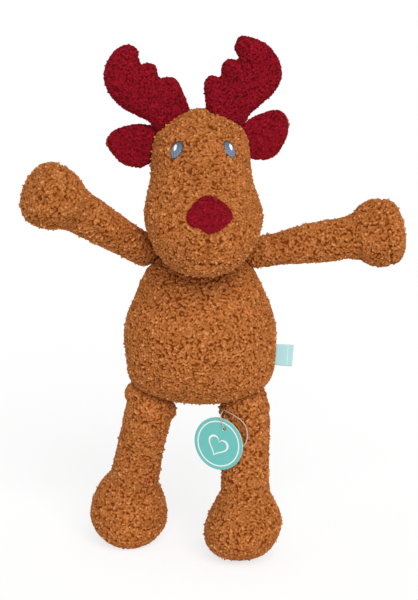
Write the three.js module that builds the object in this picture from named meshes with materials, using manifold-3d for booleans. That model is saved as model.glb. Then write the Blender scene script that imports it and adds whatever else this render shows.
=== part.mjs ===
// A plush deer that stands upright: stuffed bouclé body, head, arms and legs, crimson
// antlers, ears and nose, a round hang tag on a nylon loop and a ribbon label in the side seam.
// Millimetres, +Z up, the deer faces -Y. Left and right are those of the picture.
import * as THREE from 'three';
import { mergeVertices } from 'three/addons/utils/BufferGeometryUtils.js';
import Module from 'manifold-3d';

const wasm = await Module();
wasm.setup();

// Cloth and seams
const clothThickness = 2.6;
const stuffingGap = 0.6;
const seamGap = 0.4;
const stuffingShare = 0.1;
const mergeWithin = 0.0004;
const overrun = 60;

// How finely the round forms are divided
const coarse = 12;
const bodySides = 26;
const bodySteps = 2;
const limbSides = 18;
const limbSteps = 1;
const barSides = 16;
const ballSides = 20;
const neckSides = 32;

// Torso
const torsoBottom = 115;
const torsoHeight = 126;
const torsoWidth = 110;
const torsoDepth = 80;
const neckRadius = 22;
const neckBelowTorsoTop = 7;
const neckBehindAxis = 4;
const neckHoleRadius = 9;

// Head
const headHeight = 112;
const headWidth = 84;
const headDepth = 88;
const chinBelowNeck = 18;
const headTurn = THREE.MathUtils.degToRad(4);

// Nose and eyes, with their heights above the chin as shares of the head's
const noseRise = 0.42;
const eyeRise = 0.768;
const noseWidth = 32;
const noseHeight = 26;
const noseSwell = 2.2;
const eyeWidth = 8.6;
const eyeHeight = 13.4;
const eyeSwell = 1.2;
const eyeSpacing = 36.4;
const eyeLean = THREE.MathUtils.degToRad(14);
const glintWidth = 2.2;
const glintHeight = 4.4;
const glintSwell = 0.5;
const glintFromMiddle = 1.3;
const glintUp = 1;

// Ears, with their heights above the chin as shares of the head's
const earRise = { left: 0.7545, right: 0.7946 };
const earLift = { left: 0, right: THREE.MathUtils.degToRad(27) };
const earLength = 33;
const earWidth = 32;
const earPanel = 3.4;
const earFromAxis = 36;
const earBehindNeck = 2;
const earSwing = THREE.MathUtils.degToRad(25);

// Antlers
const antlerWidth = 55;
const antlerHeight = 58;
const antlerThickness = 12;
const antlerRounding = 3.6;
const antlerBaseShare = 0.32;
const antlerHoleRadius = 2.2;
const antlerSwing = THREE.MathUtils.degToRad(20);

// Arms
const armLength = 107;
const armRadius = 12;
const pawWidth = 49;
const pawDepth = 42;
const armHoleRadius = 5;
const shoulderBelowNeck = 8;
const shoulderSpacing = 81;

// Legs
const legRadius = 17.4;
const footWidth = 56;
const footDepth = 62;
const footHeight = 52;
const leftFootAside = 58.3;
const leftFootBack = 32;
const rightFootAside = 31;
const rightFootForward = 18;
const legHoleRadius = 7;
const hipBelowTorso = 7;
const hipSpacing = 71;
const hipAside = 1.8;
const rootShare = 0.97;
const soleCut = 0.5;

// Hang tag and its loop
const tagRadius = 19.5;
const tagThickness = 0.8;
const tagHoleRadius = 2;
const tagHoleFromCentre = 12.6;
const tagAside = 20.5;
const tagInFront = 18.3;
const tagBelowHip = 20.5;
const tagTurn = THREE.MathUtils.degToRad(28);
const tagRoll = THREE.MathUtils.degToRad(23);
const loopDiameter = 0.9;

// Side label
const labelLength = 13.8;
const labelHeight = 15.5;
const ribbonThickness = 0.5;
const ribbonFold = 0.6;
const labelAbove = 35.5;
const labelRootShare = 0.98;
const labelOff = 0.9;
const labelDroop = THREE.MathUtils.degToRad(4);

const caramel = new THREE.MeshStandardMaterial({ color: '#be6e37', roughness: 0.95, metalness: 0 });
const crimson = new THREE.MeshStandardMaterial({ color: '#96162a', roughness: 0.95, metalness: 0 });
const fibre = new THREE.MeshStandardMaterial({ color: '#efece4', roughness: 1, metalness: 0 });
const floss = new THREE.MeshStandardMaterial({ color: '#75829a', roughness: 0.7, metalness: 0 });
const white = new THREE.MeshStandardMaterial({ color: '#f4f4f2', roughness: 0.7, metalness: 0 });
const teal = new THREE.MeshStandardMaterial({ color: '#68c4bc', roughness: 0.5, metalness: 0 });
const nylon = new THREE.MeshStandardMaterial({ color: '#e8b690', roughness: 0.35, metalness: 0 });
const ribbon = new THREE.MeshStandardMaterial({ color: '#b4e0e0', roughness: 0.6, metalness: 0 });

// Solids and meshes

function toSolid(geometry) {
  let flat = geometry.clone();
  flat.deleteAttribute('normal');
  flat.deleteAttribute('uv');
  flat = mergeVertices(flat, mergeWithin);
  return new wasm.Manifold(new wasm.Mesh({
    numProp: 3,
    vertProperties: new Float32Array(flat.attributes.position.array),
    triVerts: new Uint32Array(flat.index.array),
  }));
}

function toGeometry(solid) {
  const mesh = solid.getMesh();
  const geometry = new THREE.BufferGeometry();
  geometry.setAttribute('position', new THREE.BufferAttribute(mesh.vertProperties, 3));
  geometry.setIndex(new THREE.BufferAttribute(mesh.triVerts, 1));
  return geometry;
}

function piece(name, shape, material, group) {
  const geometry = shape.isBufferGeometry ? shape : toGeometry(shape);
  geometry.computeVertexNormals();
  const mesh = new THREE.Mesh(geometry, material);
  mesh.name = name;
  group.add(mesh);
  return mesh;
}

// Where a group's own frame stands in the frame of the group that carries it
function placement(group) {
  group.updateMatrix();
  return group.matrix.clone();
}

function moved(solid, matrix) {
  return toSolid(toGeometry(solid).applyMatrix4(matrix));
}

function ball(radius, at = new THREE.Vector3(), sides = ballSides) {
  const geometry = new THREE.SphereGeometry(radius, sides, sides / 2);
  geometry.rotateX(Math.PI / 2);
  geometry.translate(...at.toArray());
  return toSolid(geometry);
}

// A round bar from one place to another
function bar(radius, from, to) {
  const along = to.clone().sub(from);
  const geometry = new THREE.CylinderGeometry(radius, radius, along.length(), barSides);
  geometry.rotateX(Math.PI / 2);
  const turn = new THREE.Quaternion().setFromUnitVectors(
    new THREE.Vector3(0, 0, 1), along.clone().normalize());
  geometry.applyQuaternion(turn);
  geometry.translate(...from.clone().lerp(to, 0.5).toArray());
  return toSolid(geometry);
}

// The value at share t between b and c of a curve that runs smoothly through a, b, c and d
function smooth(a, b, c, d, t) {
  return 0.5 * (2 * b + (c - a) * t + (2 * a - 5 * b + 4 * c - d) * t ** 2
    + (3 * b - a - 3 * c + d) * t ** 3);
}

// A stuffed form: elliptical sections along Z whose sizes run smoothly through the stations.
// A station is { at, width, depth, side, back }: half sizes, and how far its centre is shifted.
// The first and last stations are points.
function stuffedForm(stations, steps, sides, inset = 0) {
  const keys = ['at', 'width', 'depth', 'side', 'back'];
  const low = stations[0].at;
  const high = stations[stations.length - 1].at;
  const middle = (low + high) / 2;
  const shorter = 1 - 2 * inset / (high - low);
  const thinner = (half) => half && half * half / (half + inset);
  const rows = stations.map((s) => [
    middle + (s.at - middle) * shorter,
    thinner(s.width), thinner(s.depth), s.side ?? 0, s.back ?? 0]);
  const mirrored = (row) => keys.map((key, i) => (i === 1 || i === 2 ? -row[i] : row[i]));
  const all = [mirrored(rows[1]), ...rows, mirrored(rows[rows.length - 2])];
  const rings = [];
  for (let i = 1; i < all.length - 2; i++) {
    for (let step = 0; step < steps; step++) {
      rings.push(keys.map((key, k) =>
        smooth(all[i - 1][k], all[i][k], all[i + 1][k], all[i + 2][k], step / steps)));
    }
  }
  const [bottom, ...middles] = rings;
  const top = rows[rows.length - 1];
  const points = [bottom[3], bottom[4], bottom[0]];
  for (const [at, width, depth, side, back] of middles) {
    for (let j = 0; j < sides; j++) {
      const angle = 2 * Math.PI * j / sides;
      points.push(side + width * Math.cos(angle), back + depth * Math.sin(angle), at);
    }
  }
  points.push(top[3], top[4], top[0]);
  const faces = [];
  const last = 1 + middles.length * sides;
  for (let j = 0; j < sides; j++) {
    const next = (j + 1) % sides;
    faces.push(0, 1 + next, 1 + j);
    faces.push(last, last - sides + j, last - sides + next);
    for (let i = 0; i < middles.length - 1; i++) {
      const a = 1 + i * sides + j;
      const b = 1 + i * sides + next;
      faces.push(a, b, b + sides, a, b + sides, a + sides);
    }
  }
  const geometry = new THREE.BufferGeometry();
  geometry.setAttribute('position', new THREE.Float32BufferAttribute(points, 3));
  geometry.setIndex(faces);
  return geometry;
}

// A flat shape with rounded edges, centred on the plane of its outline
function padded(shape, thickness, rounding, bevels = 2) {
  const geometry = new THREE.ExtrudeGeometry(shape, {
    depth: thickness - 2 * rounding,
    bevelThickness: rounding,
    bevelSize: rounding,
    bevelOffset: -rounding,
    bevelSegments: bevels,
    curveSegments: 3,
  });
  geometry.translate(0, 0, rounding - thickness / 2);
  return geometry;
}

// A closed outline that runs smoothly through points given as shares of a width and a height
function outline(shares, width, height, steps) {
  const curve = new THREE.CatmullRomCurve3(
    shares.map(([x, y]) => new THREE.Vector3(x * width, y * height, 0)), true, 'centripetal');
  return new THREE.Shape(curve.getPoints(steps).slice(0, -1).map((p) => new THREE.Vector2(p.x, p.y)));
}

const deer = new THREE.Group();

// Torso: narrow shoulders, widest at the belly, a broad flat seat, and a round neck on top.
// Columns: height, half width, half depth and how far the section sits back.
const torsoShares = [
  [0, 0, 0, 0],
  [0.02, 0.5, 0.48, 0],
  [0.07, 0.79, 0.73, 0],
  [0.14, 0.93, 0.89, 0],
  [0.25, 0.97, 0.97, 0],
  [0.39, 1, 1, 0],
  [0.5, 0.965, 0.97, 0.01],
  [0.61, 0.88, 0.89, 0.02],
  [0.71, 0.777, 0.77, 0.04],
  [0.8, 0.67, 0.62, 0.07],
  [0.88, 0.52, 0.48, 0.1],
  [0.95, 0.33, 0.33, 0.1],
  [1, 0, 0, 0.1],
];

function torsoForm(steps, sides, inset) {
  const stations = torsoShares.map(([at, width, depth, back]) => ({
    at: torsoBottom + at * torsoHeight,
    width: width * torsoWidth / 2,
    depth: depth * torsoDepth / 2,
    back: back * torsoDepth / 2,
  }));
  return toSolid(stuffedForm(stations, steps, sides, inset));
}

const neck = new THREE.Vector3(0, neckBehindAxis, torsoBottom + torsoHeight - neckBelowTorsoTop);
const shoulders = [-1, 1].map((side) =>
  new THREE.Vector3(side * shoulderSpacing / 2, neckBehindAxis, neck.z - shoulderBelowNeck));
const hips = [-1, 1].map((side) =>
  new THREE.Vector3(side * hipSpacing / 2 - hipAside, 0, torsoBottom - hipBelowTorso));

const neckBall = ball(neckRadius, neck, neckSides);
const neckInside = ball(neckRadius - clothThickness, neck, coarse);
const neckStuffing = ball(neckRadius - clothThickness - stuffingGap, neck, coarse);
const neckHole = bar(neckHoleRadius, neck, neck.clone().add(new THREE.Vector3(0, 0, overrun)));
let torsoCavity = torsoForm(limbSteps, coarse, clothThickness).add(neckInside);
let torsoStuffing = torsoForm(limbSteps, coarse, clothThickness + stuffingGap).add(neckStuffing);
let torsoOutside = torsoForm(bodySteps, bodySides, 0).add(neckBall);
const sockets = [
  ...shoulders.map((at) => ({ at, radius: armRadius })),
  ...hips.map((at) => ({ at, radius: legRadius })),
];
for (const { at, radius } of sockets) {
  torsoOutside = torsoOutside.subtract(ball(radius + seamGap, at));
  const within = radius + seamGap + clothThickness;
  torsoCavity = torsoCavity.subtract(ball(within, at, coarse));
  torsoStuffing = torsoStuffing.subtract(ball(within + stuffingGap, at, coarse));
}
piece('torso_cover', torsoOutside.subtract(torsoCavity).subtract(neckHole), caramel, deer);
piece('torso_filling', torsoStuffing, fibre, deer);

// Head: a narrow crown, a long face and a broad drooping muzzle that hangs over the chest.
// Columns: height above the chin, half width, half depth and how far the section sits back.
const headShares = [
  [0, 0, 0, -0.48],
  [0.045, 0.5, 0.39, -0.48],
  [0.092, 0.67, 0.58, -0.44],
  [0.152, 0.805, 0.74, -0.39],
  [0.21, 0.9, 0.86, -0.35],
  [0.296, 0.975, 0.97, -0.29],
  [0.388, 1, 1, -0.23],
  [0.472, 0.94, 0.95, -0.15],
  [0.552, 0.87, 0.875, -0.075],
  [0.641, 0.85, 0.81, -0.02],
  [0.745, 0.826, 0.757, 0],
  [0.827, 0.774, 0.67, 0.02],
  [0.9, 0.63, 0.52, 0.03],
  [0.95, 0.42, 0.35, 0.03],
  [1, 0, 0, 0.03],
];

function headForm(steps, sides, inset, outset = 0) {
  const stations = headShares.map(([at, width, depth, back]) => ({
    at: at * headHeight - chinBelowNeck,
    width: width && width * headWidth / 2 + outset,
    depth: depth && depth * headDepth / 2 + outset,
    back: back * headDepth - neckBehindAxis,
  }));
  stations[0].at -= outset;
  stations[stations.length - 1].at += outset;
  return toSolid(stuffedForm(stations, steps, sides, inset));
}

const head = new THREE.Group();
head.position.copy(neck);
head.rotation.z = headTurn;
deer.add(head);

const headMiddle = new THREE.Vector3(0, -headDepth / 8, headHeight / 2 - chinBelowNeck);
const headHole = bar(neckHoleRadius, new THREE.Vector3(), headMiddle);
const headSocket = ball(neckRadius + seamGap, new THREE.Vector3(), neckSides);
const nape = new THREE.Vector3();
const headWithin = neckRadius + seamGap + clothThickness;
const headCavity = headForm(limbSteps, coarse, clothThickness)
  .subtract(ball(headWithin, nape, coarse)).add(headHole);
const headStuffing = headForm(limbSteps, coarse, clothThickness + stuffingGap)
  .subtract(ball(headWithin + stuffingGap, nape, coarse));
const headOutside = headForm(bodySteps, bodySides, 0).subtract(headSocket);
piece('head_cover', headOutside.subtract(headCavity), caramel, head);
piece('head_filling', headStuffing, fibre, head);

// The depth of the face's front at a height and a distance from its middle
function faceFront(x, above) {
  const share = above / headHeight;
  let i = 1;
  while (i < headShares.length - 2 && headShares[i + 1][0] < share) i++;
  const [low, high] = [headShares[i], headShares[i + 1]];
  const t = (share - low[0]) / (high[0] - low[0]);
  const [, width, depth, back] = low.map((value, k) =>
    smooth(headShares[i - 1][k], value, high[k], headShares[Math.min(i + 2, headShares.length - 1)][k], t));
  const across = x / (width * headWidth / 2);
  return (back - depth / 2 * Math.sqrt(1 - across * across)) * headDepth - neckBehindAxis;
}

// A patch sewn or stitched on the face: a low lens of a given outline that stands on the cloth
const skin = headForm(bodySteps, bodySides, 0, seamGap);

function facePatch(shape, x, above, lean, swell, base = seamGap) {
  const at = new THREE.Vector3(x, faceFront(x, above), above - chinBelowNeck);
  const reach = eyeHeight / 4;
  const slopeUp = (faceFront(x, above + reach) - faceFront(x, above - reach)) / (2 * reach);
  const slopeSide = (faceFront(x + reach, above) - faceFront(x - reach, above)) / (2 * reach);
  const outward = new THREE.Vector3(slopeSide, -1, slopeUp).normalize();
  const up = new THREE.Vector3(0, 0, 1).applyAxisAngle(new THREE.Vector3(0, -1, 0), lean);
  const right = up.clone().cross(outward).normalize();
  up.copy(outward).cross(right);
  const geometry = new THREE.ExtrudeGeometry(shape, { depth: overrun / 4, bevelEnabled: false });
  geometry.translate(0, 0, -overrun / 8);
  geometry.applyMatrix4(new THREE.Matrix4().makeBasis(right, up, outward).setPosition(at));
  return toSolid(geometry).intersect(headForm(bodySteps, bodySides, 0, base + swell))
    .subtract(headForm(bodySteps, bodySides, 0, base));
}

function oval(width, height) {
  const shape = new THREE.Shape();
  shape.absellipse(0, 0, width / 2, height / 2, 0, 2 * Math.PI);
  return shape;
}

// Nose outline: a broad rounded triangle, in shares of its half width and half height
const noseShares = [
  [0, 1], [0.5, 0.72], [0.86, 0.32], [0.98, -0.12], [0.72, -0.55], [0.3, -0.88],
  [-0.08, -0.98], [-0.5, -0.72], [-0.92, -0.5], [-0.98, 0.05], [-0.76, 0.42], [-0.4, 0.82],
];
const noseShape = outline(noseShares, noseWidth / 2, noseHeight / 2, 24);
piece('nose', facePatch(noseShape, 0, noseRise * headHeight, 0, noseSwell), crimson, head);

for (const [name, side] of [['left', -1], ['right', 1]]) {
  const x = side * eyeSpacing / 2;
  const above = eyeRise * headHeight;
  const lean = -side * eyeLean;
  const eye = facePatch(oval(eyeWidth, eyeHeight), x, above, lean, eyeSwell);
  piece(`eye_${name}`, eye, floss, head);
  const glint = facePatch(oval(glintWidth, glintHeight), x + side * glintFromMiddle, above + glintUp,
    lean, glintSwell, eyeSwell + 2 * seamGap);
  piece(`glint_${name}`, glint, white, head);
}

// Antlers: a broad palm with three blunt tines on the inner side, as shares of width and height
const antlerShares = [
  [0.05, 0], [0, 0.3], [0.03, 0.44], [0.115, 0.505], [0.205, 0.46], [0.295, 0.43],
  [0.245, 0.555], [0.256, 0.654], [0.333, 0.7], [0.436, 0.68], [0.513, 0.645],
  [0.423, 0.8], [0.423, 0.914], [0.513, 1], [0.68, 0.957], [0.833, 0.877],
  [0.949, 0.716], [1, 0.543], [0.962, 0.37], [0.833, 0.222], [0.667, 0.1], [0.59, -0.02],
  [0.34, -0.12],
];

// The stuffing's outline in the palm, well inside the seams
const antlerCoreShares = [
  [0.14, 0.16], [0.13, 0.34], [0.38, 0.42], [0.55, 0.58], [0.6, 0.82], [0.74, 0.8],
  [0.84, 0.66], [0.87, 0.52], [0.82, 0.38], [0.68, 0.26], [0.52, 0.12],
];

// Where each antler is sewn, as shares of the head's half width and height, with its lean and
// turn in degrees
const antlerPlaces = [
  { name: 'left', side: -1, across: 0.5476, rise: 0.9286, lean: 20, turn: 22 },
  { name: 'right', side: 1, across: 0.4167, rise: 0.9375, lean: 3, turn: 0 },
];

// What is left of a piece that swings about an axis beside the head, clear of it at every angle
function clearOfHead(solid, group, axis, swing) {
  const toGroup = placement(group).invert();
  return [-1, -0.5, 0, 0.5, 1].reduce((left, share) => {
    const turned = new THREE.Matrix4().makeRotationAxis(axis, share * swing).multiply(toGroup);
    return left.subtract(moved(skin, turned));
  }, solid);
}

// A pad that stands up in the XZ plane, its root at the origin; a negative side mirrors it
function uprightPad(shape, thickness, rounding, baseFromEdge, side) {
  const geometry = padded(shape, thickness, rounding);
  geometry.applyMatrix4(new THREE.Matrix4().makeBasis(
    new THREE.Vector3(1, 0, 0), new THREE.Vector3(0, 0, 1), new THREE.Vector3(0, -1, 0)));
  geometry.translate(-baseFromEdge, 0, 0);
  const solid = toSolid(geometry);
  return side < 0 ? solid.mirror([1, 0, 0]) : solid;
}

// The same outline, drawn in towards its middle by a share
function drawnIn(shares, share) {
  const middle = shares.reduce(([a, b], [x, y]) =>
    [a + x / shares.length, b + y / shares.length], [0, 0]);
  return shares.map((point) => point.map((value, k) => value + (middle[k] - value) * share));
}

const antlerFoot = antlerBaseShare * antlerWidth;
const antlerHollow = antlerThickness - 2 * clothThickness;

function antlerPad(shares, thickness, steps, side) {
  const rounding = Math.min(antlerRounding, thickness / 3);
  const shape = outline(shares, antlerWidth, antlerHeight, steps);
  return uprightPad(shape, thickness, rounding, antlerFoot, side);
}

for (const { name, side, across, rise, lean, turn } of antlerPlaces) {
  const antler = new THREE.Group();
  antler.position.set(
    side * across * headWidth / 2, -neckBehindAxis, rise * headHeight - chinBelowNeck);
  antler.rotation.order = 'ZYX';
  antler.rotation.z = THREE.MathUtils.degToRad(turn);
  antler.rotation.y = side * THREE.MathUtils.degToRad(lean);
  head.add(antler);
  const neckOfPalm = new THREE.Vector3(side * antlerWidth / 8, 0, antlerHeight / 3);
  const hole = bar(antlerHoleRadius, new THREE.Vector3(0, 0, -antlerHeight / 8), neckOfPalm);
  const cavity = antlerPad(antlerCoreShares, antlerHollow, 22, side).add(hole);
  const core = antlerPad(
    drawnIn(antlerCoreShares, stuffingShare), antlerHollow - 2 * stuffingGap, 22, side);
  const cover = antlerPad(antlerShares, antlerThickness, 46, side);
  const seated = clearOfHead(cover, antler, new THREE.Vector3(1, 0, 0), antlerSwing);
  piece(`antler_${name}_cover`, seated.subtract(cavity), crimson, antler);
  piece(`antler_${name}_filling`, core, fibre, antler);
}

// Ears: a crimson lining in front and a caramel panel behind, sewn round their edge
const earShares = [
  [0, 0.3], [0.2, 0.4], [0.45, 0.46], [0.7, 0.49], [0.88, 0.4], [1, 0.18],
  [0.98, -0.08], [0.86, -0.28], [0.66, -0.45], [0.42, -0.5], [0.18, -0.44], [0, -0.36],
];
function earPad(side, behind) {
  const shape = outline(earShares, earLength, earWidth, 24);
  const solid = uprightPad(shape, earPanel, earPanel / 3, earLength / 8, side);
  return solid.translate([0, behind * (earPanel + seamGap) / 2, 0]);
}

for (const [name, side] of [['left', -1], ['right', 1]]) {
  const ear = new THREE.Group();
  ear.position.set(side * earFromAxis, earBehindNeck - neckBehindAxis,
    earRise[name] * headHeight - chinBelowNeck);
  ear.rotation.y = -side * earLift[name];
  head.add(ear);
  const seated = (behind) =>
    clearOfHead(earPad(side, behind), ear, new THREE.Vector3(0, 0, 1), earSwing);
  piece(`ear_${name}_lining`, seated(-1), crimson, ear);
  piece(`ear_${name}_back`, seated(1), caramel, ear);
}

// A limb whose root is a ball that turns in the torso's socket, open there for its stuffing.
// trim is what the limb stands on, in the limb's own frame.
function addLimb(name, form, radius, holeRadius, root, group, trim) {
  const into = root.clone().multiplyScalar(-radius - overrun);
  const hole = bar(holeRadius, new THREE.Vector3(), into);
  const middle = new THREE.Vector3();
  const ballInset = (inset) => form(coarse, inset).add(ball(radius - inset, middle, coarse));
  let outside = form(limbSides, 0).add(ball(radius));
  const stuffing = ballInset(clothThickness + stuffingGap);
  if (trim) {
    outside = outside.subtract(trim);
  }
  piece(`${name}_cover`, outside.subtract(ballInset(clothThickness)).subtract(hole), caramel, group);
  piece(`${name}_filling`, stuffing, fibre, group);
}

// Arms: a slim tube that widens to a broad blunt paw.
// Columns: distance along the arm, half width and half depth as shares of the paw's.
const armShares = [
  [-0.06, 0, 0], [0.02, 0.47, 0.54], [0.15, 0.5, 0.57], [0.3, 0.56, 0.62], [0.5, 0.605, 0.68],
  [0.61, 0.62, 0.7], [0.68, 0.67, 0.74], [0.74, 0.83, 0.86], [0.8, 0.95, 0.95],
  [0.87, 1, 1], [0.93, 0.93, 0.93], [0.975, 0.7, 0.72], [1, 0, 0],
];

function armForm(sides, inset) {
  const stations = armShares.map(([at, width, depth]) => ({
    at: at * armLength, width: width * pawWidth / 2, depth: depth * pawDepth / 2,
  }));
  return toSolid(stuffedForm(stations, limbSteps, sides, inset));
}

const armPlaces = [
  { name: 'left', side: -1, shoulder: shoulders[0], raised: 31, forward: 36, roll: 60 },
  { name: 'right', side: 1, shoulder: shoulders[1], raised: 8, forward: 0, roll: 0 },
];
for (const { name, side, shoulder, raised, forward, roll } of armPlaces) {
  const arm = new THREE.Group();
  arm.position.copy(shoulder);
  arm.rotation.order = 'ZYX';
  arm.rotation.z = side * THREE.MathUtils.degToRad(-forward);
  arm.rotation.y = side * THREE.MathUtils.degToRad(90 - raised);
  arm.rotateZ(THREE.MathUtils.degToRad(roll));
  deer.add(arm);
  addLimb(`arm_${name}`, armForm, armRadius, armHoleRadius, new THREE.Vector3(0, 0, 1), arm);
}

// Legs: a straight tube that widens below the ankle to a round foot with a flat sole.
// Columns: height above the sole as a share of the foot's height, half width and half depth as
// shares of the foot's, and how far the section sits back.
const footShares = [
  [0, 0, 0, -0.06], [0.03, 0.4, 0.4, -0.06], [0.1, 0.72, 0.72, -0.06], [0.24, 0.93, 0.94, -0.06],
  [0.42, 1, 1, -0.05], [0.6, 0.94, 0.93, -0.03], [0.8, 0.77, 0.73, 0], [1, 0.64, 0.58, 0],
];
const legPlaces = [
  { name: 'left', hip: hips[0], foot: new THREE.Vector2(-leftFootAside, leftFootBack) },
  { name: 'right', hip: hips[1], foot: new THREE.Vector2(rightFootAside, -rightFootForward) },
];

// The leg's form from its hip down to a foot whose lowest point is length below, before it leans
function legForm(length, lean, sides, inset) {
  const stations = footShares.map(([at, width, depth, back]) => ({
    at: at * footHeight - length, width: width * footWidth / 2, depth: depth * footDepth / 2,
    back: back * footDepth / 2,
  }));
  const shaft = (at, share) => ({ at, width: legRadius * share, depth: legRadius * share });
  stations.push(shaft((footHeight - length) / 2, 1), shaft(-legRadius, 1));
  stations.push(shaft(-legRadius / 8, rootShare), shaft(legRadius / 2, 0));
  return stuffedForm(stations, limbSteps, sides, inset).applyQuaternion(lean);
}

for (const { name, hip, foot } of legPlaces) {
  const leg = new THREE.Group();
  leg.position.copy(hip);
  deer.add(leg);
  const down = new THREE.Vector3(foot.x, foot.y, 0).sub(hip);
  const lean = new THREE.Quaternion().setFromUnitVectors(
    new THREE.Vector3(0, 0, -1), down.clone().normalize());
  const trial = legForm(down.length(), lean, limbSides, 0);
  trial.computeBoundingBox();
  const excess = -trial.boundingBox.min.z - hip.z - soleCut;
  const length = down.length() - excess * down.length() / hip.z;
  const floor = toSolid(new THREE.BoxGeometry(overrun * 4, overrun * 4, overrun)
    .translate(0, 0, -overrun / 2 - hip.z));
  addLimb(`leg_${name}`, (sides, inset) => toSolid(legForm(length, lean, sides, inset)),
    legRadius, legHoleRadius, down.normalize(), leg, floor);
}

// The ribbon label: a folded loop that stands out of the torso's side seam
function labelForm() {
  const outer = ribbonFold / 2 + ribbonThickness;
  const shape = new THREE.Shape();
  shape.moveTo(0, -outer);
  shape.lineTo(labelLength - outer, -outer);
  shape.absarc(labelLength - outer, 0, outer, -Math.PI / 2, Math.PI / 2);
  shape.lineTo(0, outer);
  shape.lineTo(0, ribbonFold / 2);
  shape.lineTo(labelLength - outer, ribbonFold / 2);
  shape.absarc(labelLength - outer, 0, ribbonFold / 2, Math.PI / 2, -Math.PI / 2, true);
  shape.lineTo(0, -ribbonFold / 2);
  const geometry = new THREE.ExtrudeGeometry(shape, {
    depth: labelHeight, bevelEnabled: false, curveSegments: 4,
  });
  return geometry.translate(0, 0, -labelHeight / 2);
}

const label = new THREE.Group();
label.position.set(torsoWidth / 2 * labelRootShare + labelOff, 0, torsoBottom + labelAbove);
label.rotation.y = labelDroop;
deer.add(label);
piece('side_label', labelForm(), ribbon, label);

// The object stands with its origin under the middle of its box, leaving out tag and loop
const box = new THREE.Box3().setFromObject(deer, true);
const centre = box.getCenter(new THREE.Vector3());
deer.position.set(-centre.x, -centre.y, -box.min.z);

// The hang tag: a card disc with a hole, turned to lie along the right leg's front
const tagPlace = hips[1].clone().add(new THREE.Vector3(-tagAside, -tagInFront, -tagBelowHip));
const tag = new THREE.Group();
tag.position.copy(tagPlace);
tag.rotation.order = 'ZYX';
tag.rotation.z = -tagTurn;
tag.rotation.x = Math.PI / 2;
deer.add(tag);
const disc = new THREE.Shape();
disc.absarc(0, 0, tagRadius, 0, 2 * Math.PI);
const eyelet = new THREE.Path();
eyelet.absarc(tagHoleFromCentre * Math.sin(tagRoll), tagHoleFromCentre * Math.cos(tagRoll),
  tagHoleRadius, 0, 2 * Math.PI);
disc.holes.push(eyelet);
const card = new THREE.ExtrudeGeometry(disc, {
  depth: tagThickness, bevelEnabled: false, curveSegments: 20,
});
card.translate(0, 0, -tagThickness / 2);
piece('hang_tag', card, teal, tag);

// The nylon loop: from the seam over the leg's front, behind the card, through its hole and back.
// The places are chosen by hand.
const loopPlaces = [
  [20.7, -12, 112.2], [23.1, -16.2, 110.4], [26.8, -19.4, 107.6], [30.6, -20.7, 104.2],
  [33.2, -21.4, 99.5], [33.8, -22.4, 94.5], [33, -23.4, 90.2], [30.8, -24.1, 86.9],
  [26.2, -22.9, 86],
];
const tagFrame = placement(tag);
const behindTag = [[9, 0.5, -1.6], [6.5, 5, -1.45], [5.2, 9.4, -1.4], [4.9, 11.5, -0.4],
  [4.8, 12.5, 0.7], [4.2, 14.2, 1.3], [2.8, 17.6, 1.2], [1.9, 20.6, 0.7], [1.9, 23.4, -1.8]];
const loopPoints = [
  ...loopPlaces.map((place) => new THREE.Vector3(...place)),
  ...behindTag.map((place) => new THREE.Vector3(...place).applyMatrix4(tagFrame)),
  new THREE.Vector3(19.4, -10.1, 112.7),
];
const section = new THREE.Shape();
section.absarc(0, 0, loopDiameter / 2, 0, 2 * Math.PI);
const loopGeometry = new THREE.ExtrudeGeometry(section, {
  steps: 48, curveSegments: 3, extrudePath: new THREE.CatmullRomCurve3(loopPoints),
});
piece('tag_loop', loopGeometry, nylon, deer);

export default deer;
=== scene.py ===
"""Looks for a stuffed plush deer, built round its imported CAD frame.

The deer stands upright and faces -Y, +Z is up, and left and right are those of the picture.
Sizes are in millimetres and angles in degrees. MM turns sizes to metres where a mesh is made.
"""

import itertools
import math

import bmesh
import bpy
import numpy as np
from mathutils import Matrix, Vector
from mathutils.bvhtree import BVHTree


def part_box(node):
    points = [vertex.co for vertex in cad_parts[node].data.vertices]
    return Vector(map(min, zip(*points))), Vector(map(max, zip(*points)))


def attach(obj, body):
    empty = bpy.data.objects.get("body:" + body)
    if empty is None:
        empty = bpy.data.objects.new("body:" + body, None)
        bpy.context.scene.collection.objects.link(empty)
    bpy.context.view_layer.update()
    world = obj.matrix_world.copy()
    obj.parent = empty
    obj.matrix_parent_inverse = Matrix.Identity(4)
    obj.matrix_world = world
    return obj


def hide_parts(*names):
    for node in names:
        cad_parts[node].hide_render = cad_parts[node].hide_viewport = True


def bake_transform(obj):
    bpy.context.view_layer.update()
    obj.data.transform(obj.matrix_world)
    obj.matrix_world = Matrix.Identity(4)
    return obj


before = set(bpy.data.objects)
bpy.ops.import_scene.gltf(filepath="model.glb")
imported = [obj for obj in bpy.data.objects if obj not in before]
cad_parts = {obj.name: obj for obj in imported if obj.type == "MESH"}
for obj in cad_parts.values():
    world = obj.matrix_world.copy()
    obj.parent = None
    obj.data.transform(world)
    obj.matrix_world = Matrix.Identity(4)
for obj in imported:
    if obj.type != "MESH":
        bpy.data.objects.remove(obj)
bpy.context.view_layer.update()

MM = 0.001

# The deer's own middle on the ground, from the torso, which stands square on it
torso_low, torso_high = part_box("torso_cover")
DEER = Matrix.Translation(
    ((torso_low.x + torso_high.x) / 2, (torso_low.y + torso_high.y) / 2, 0)
)

# Camera: a long lens at chest height, a little above the deer
VIEW_TARGET = Vector((6.3, 0, 189.5))
VIEW_DISTANCE, VIEW_ELEVATION = 1400, math.radians(12)
LENS, SENSOR = 116.67, 36
VIEW_NEAREST, VIEW_FARTHEST = 0.05, 20

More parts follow.
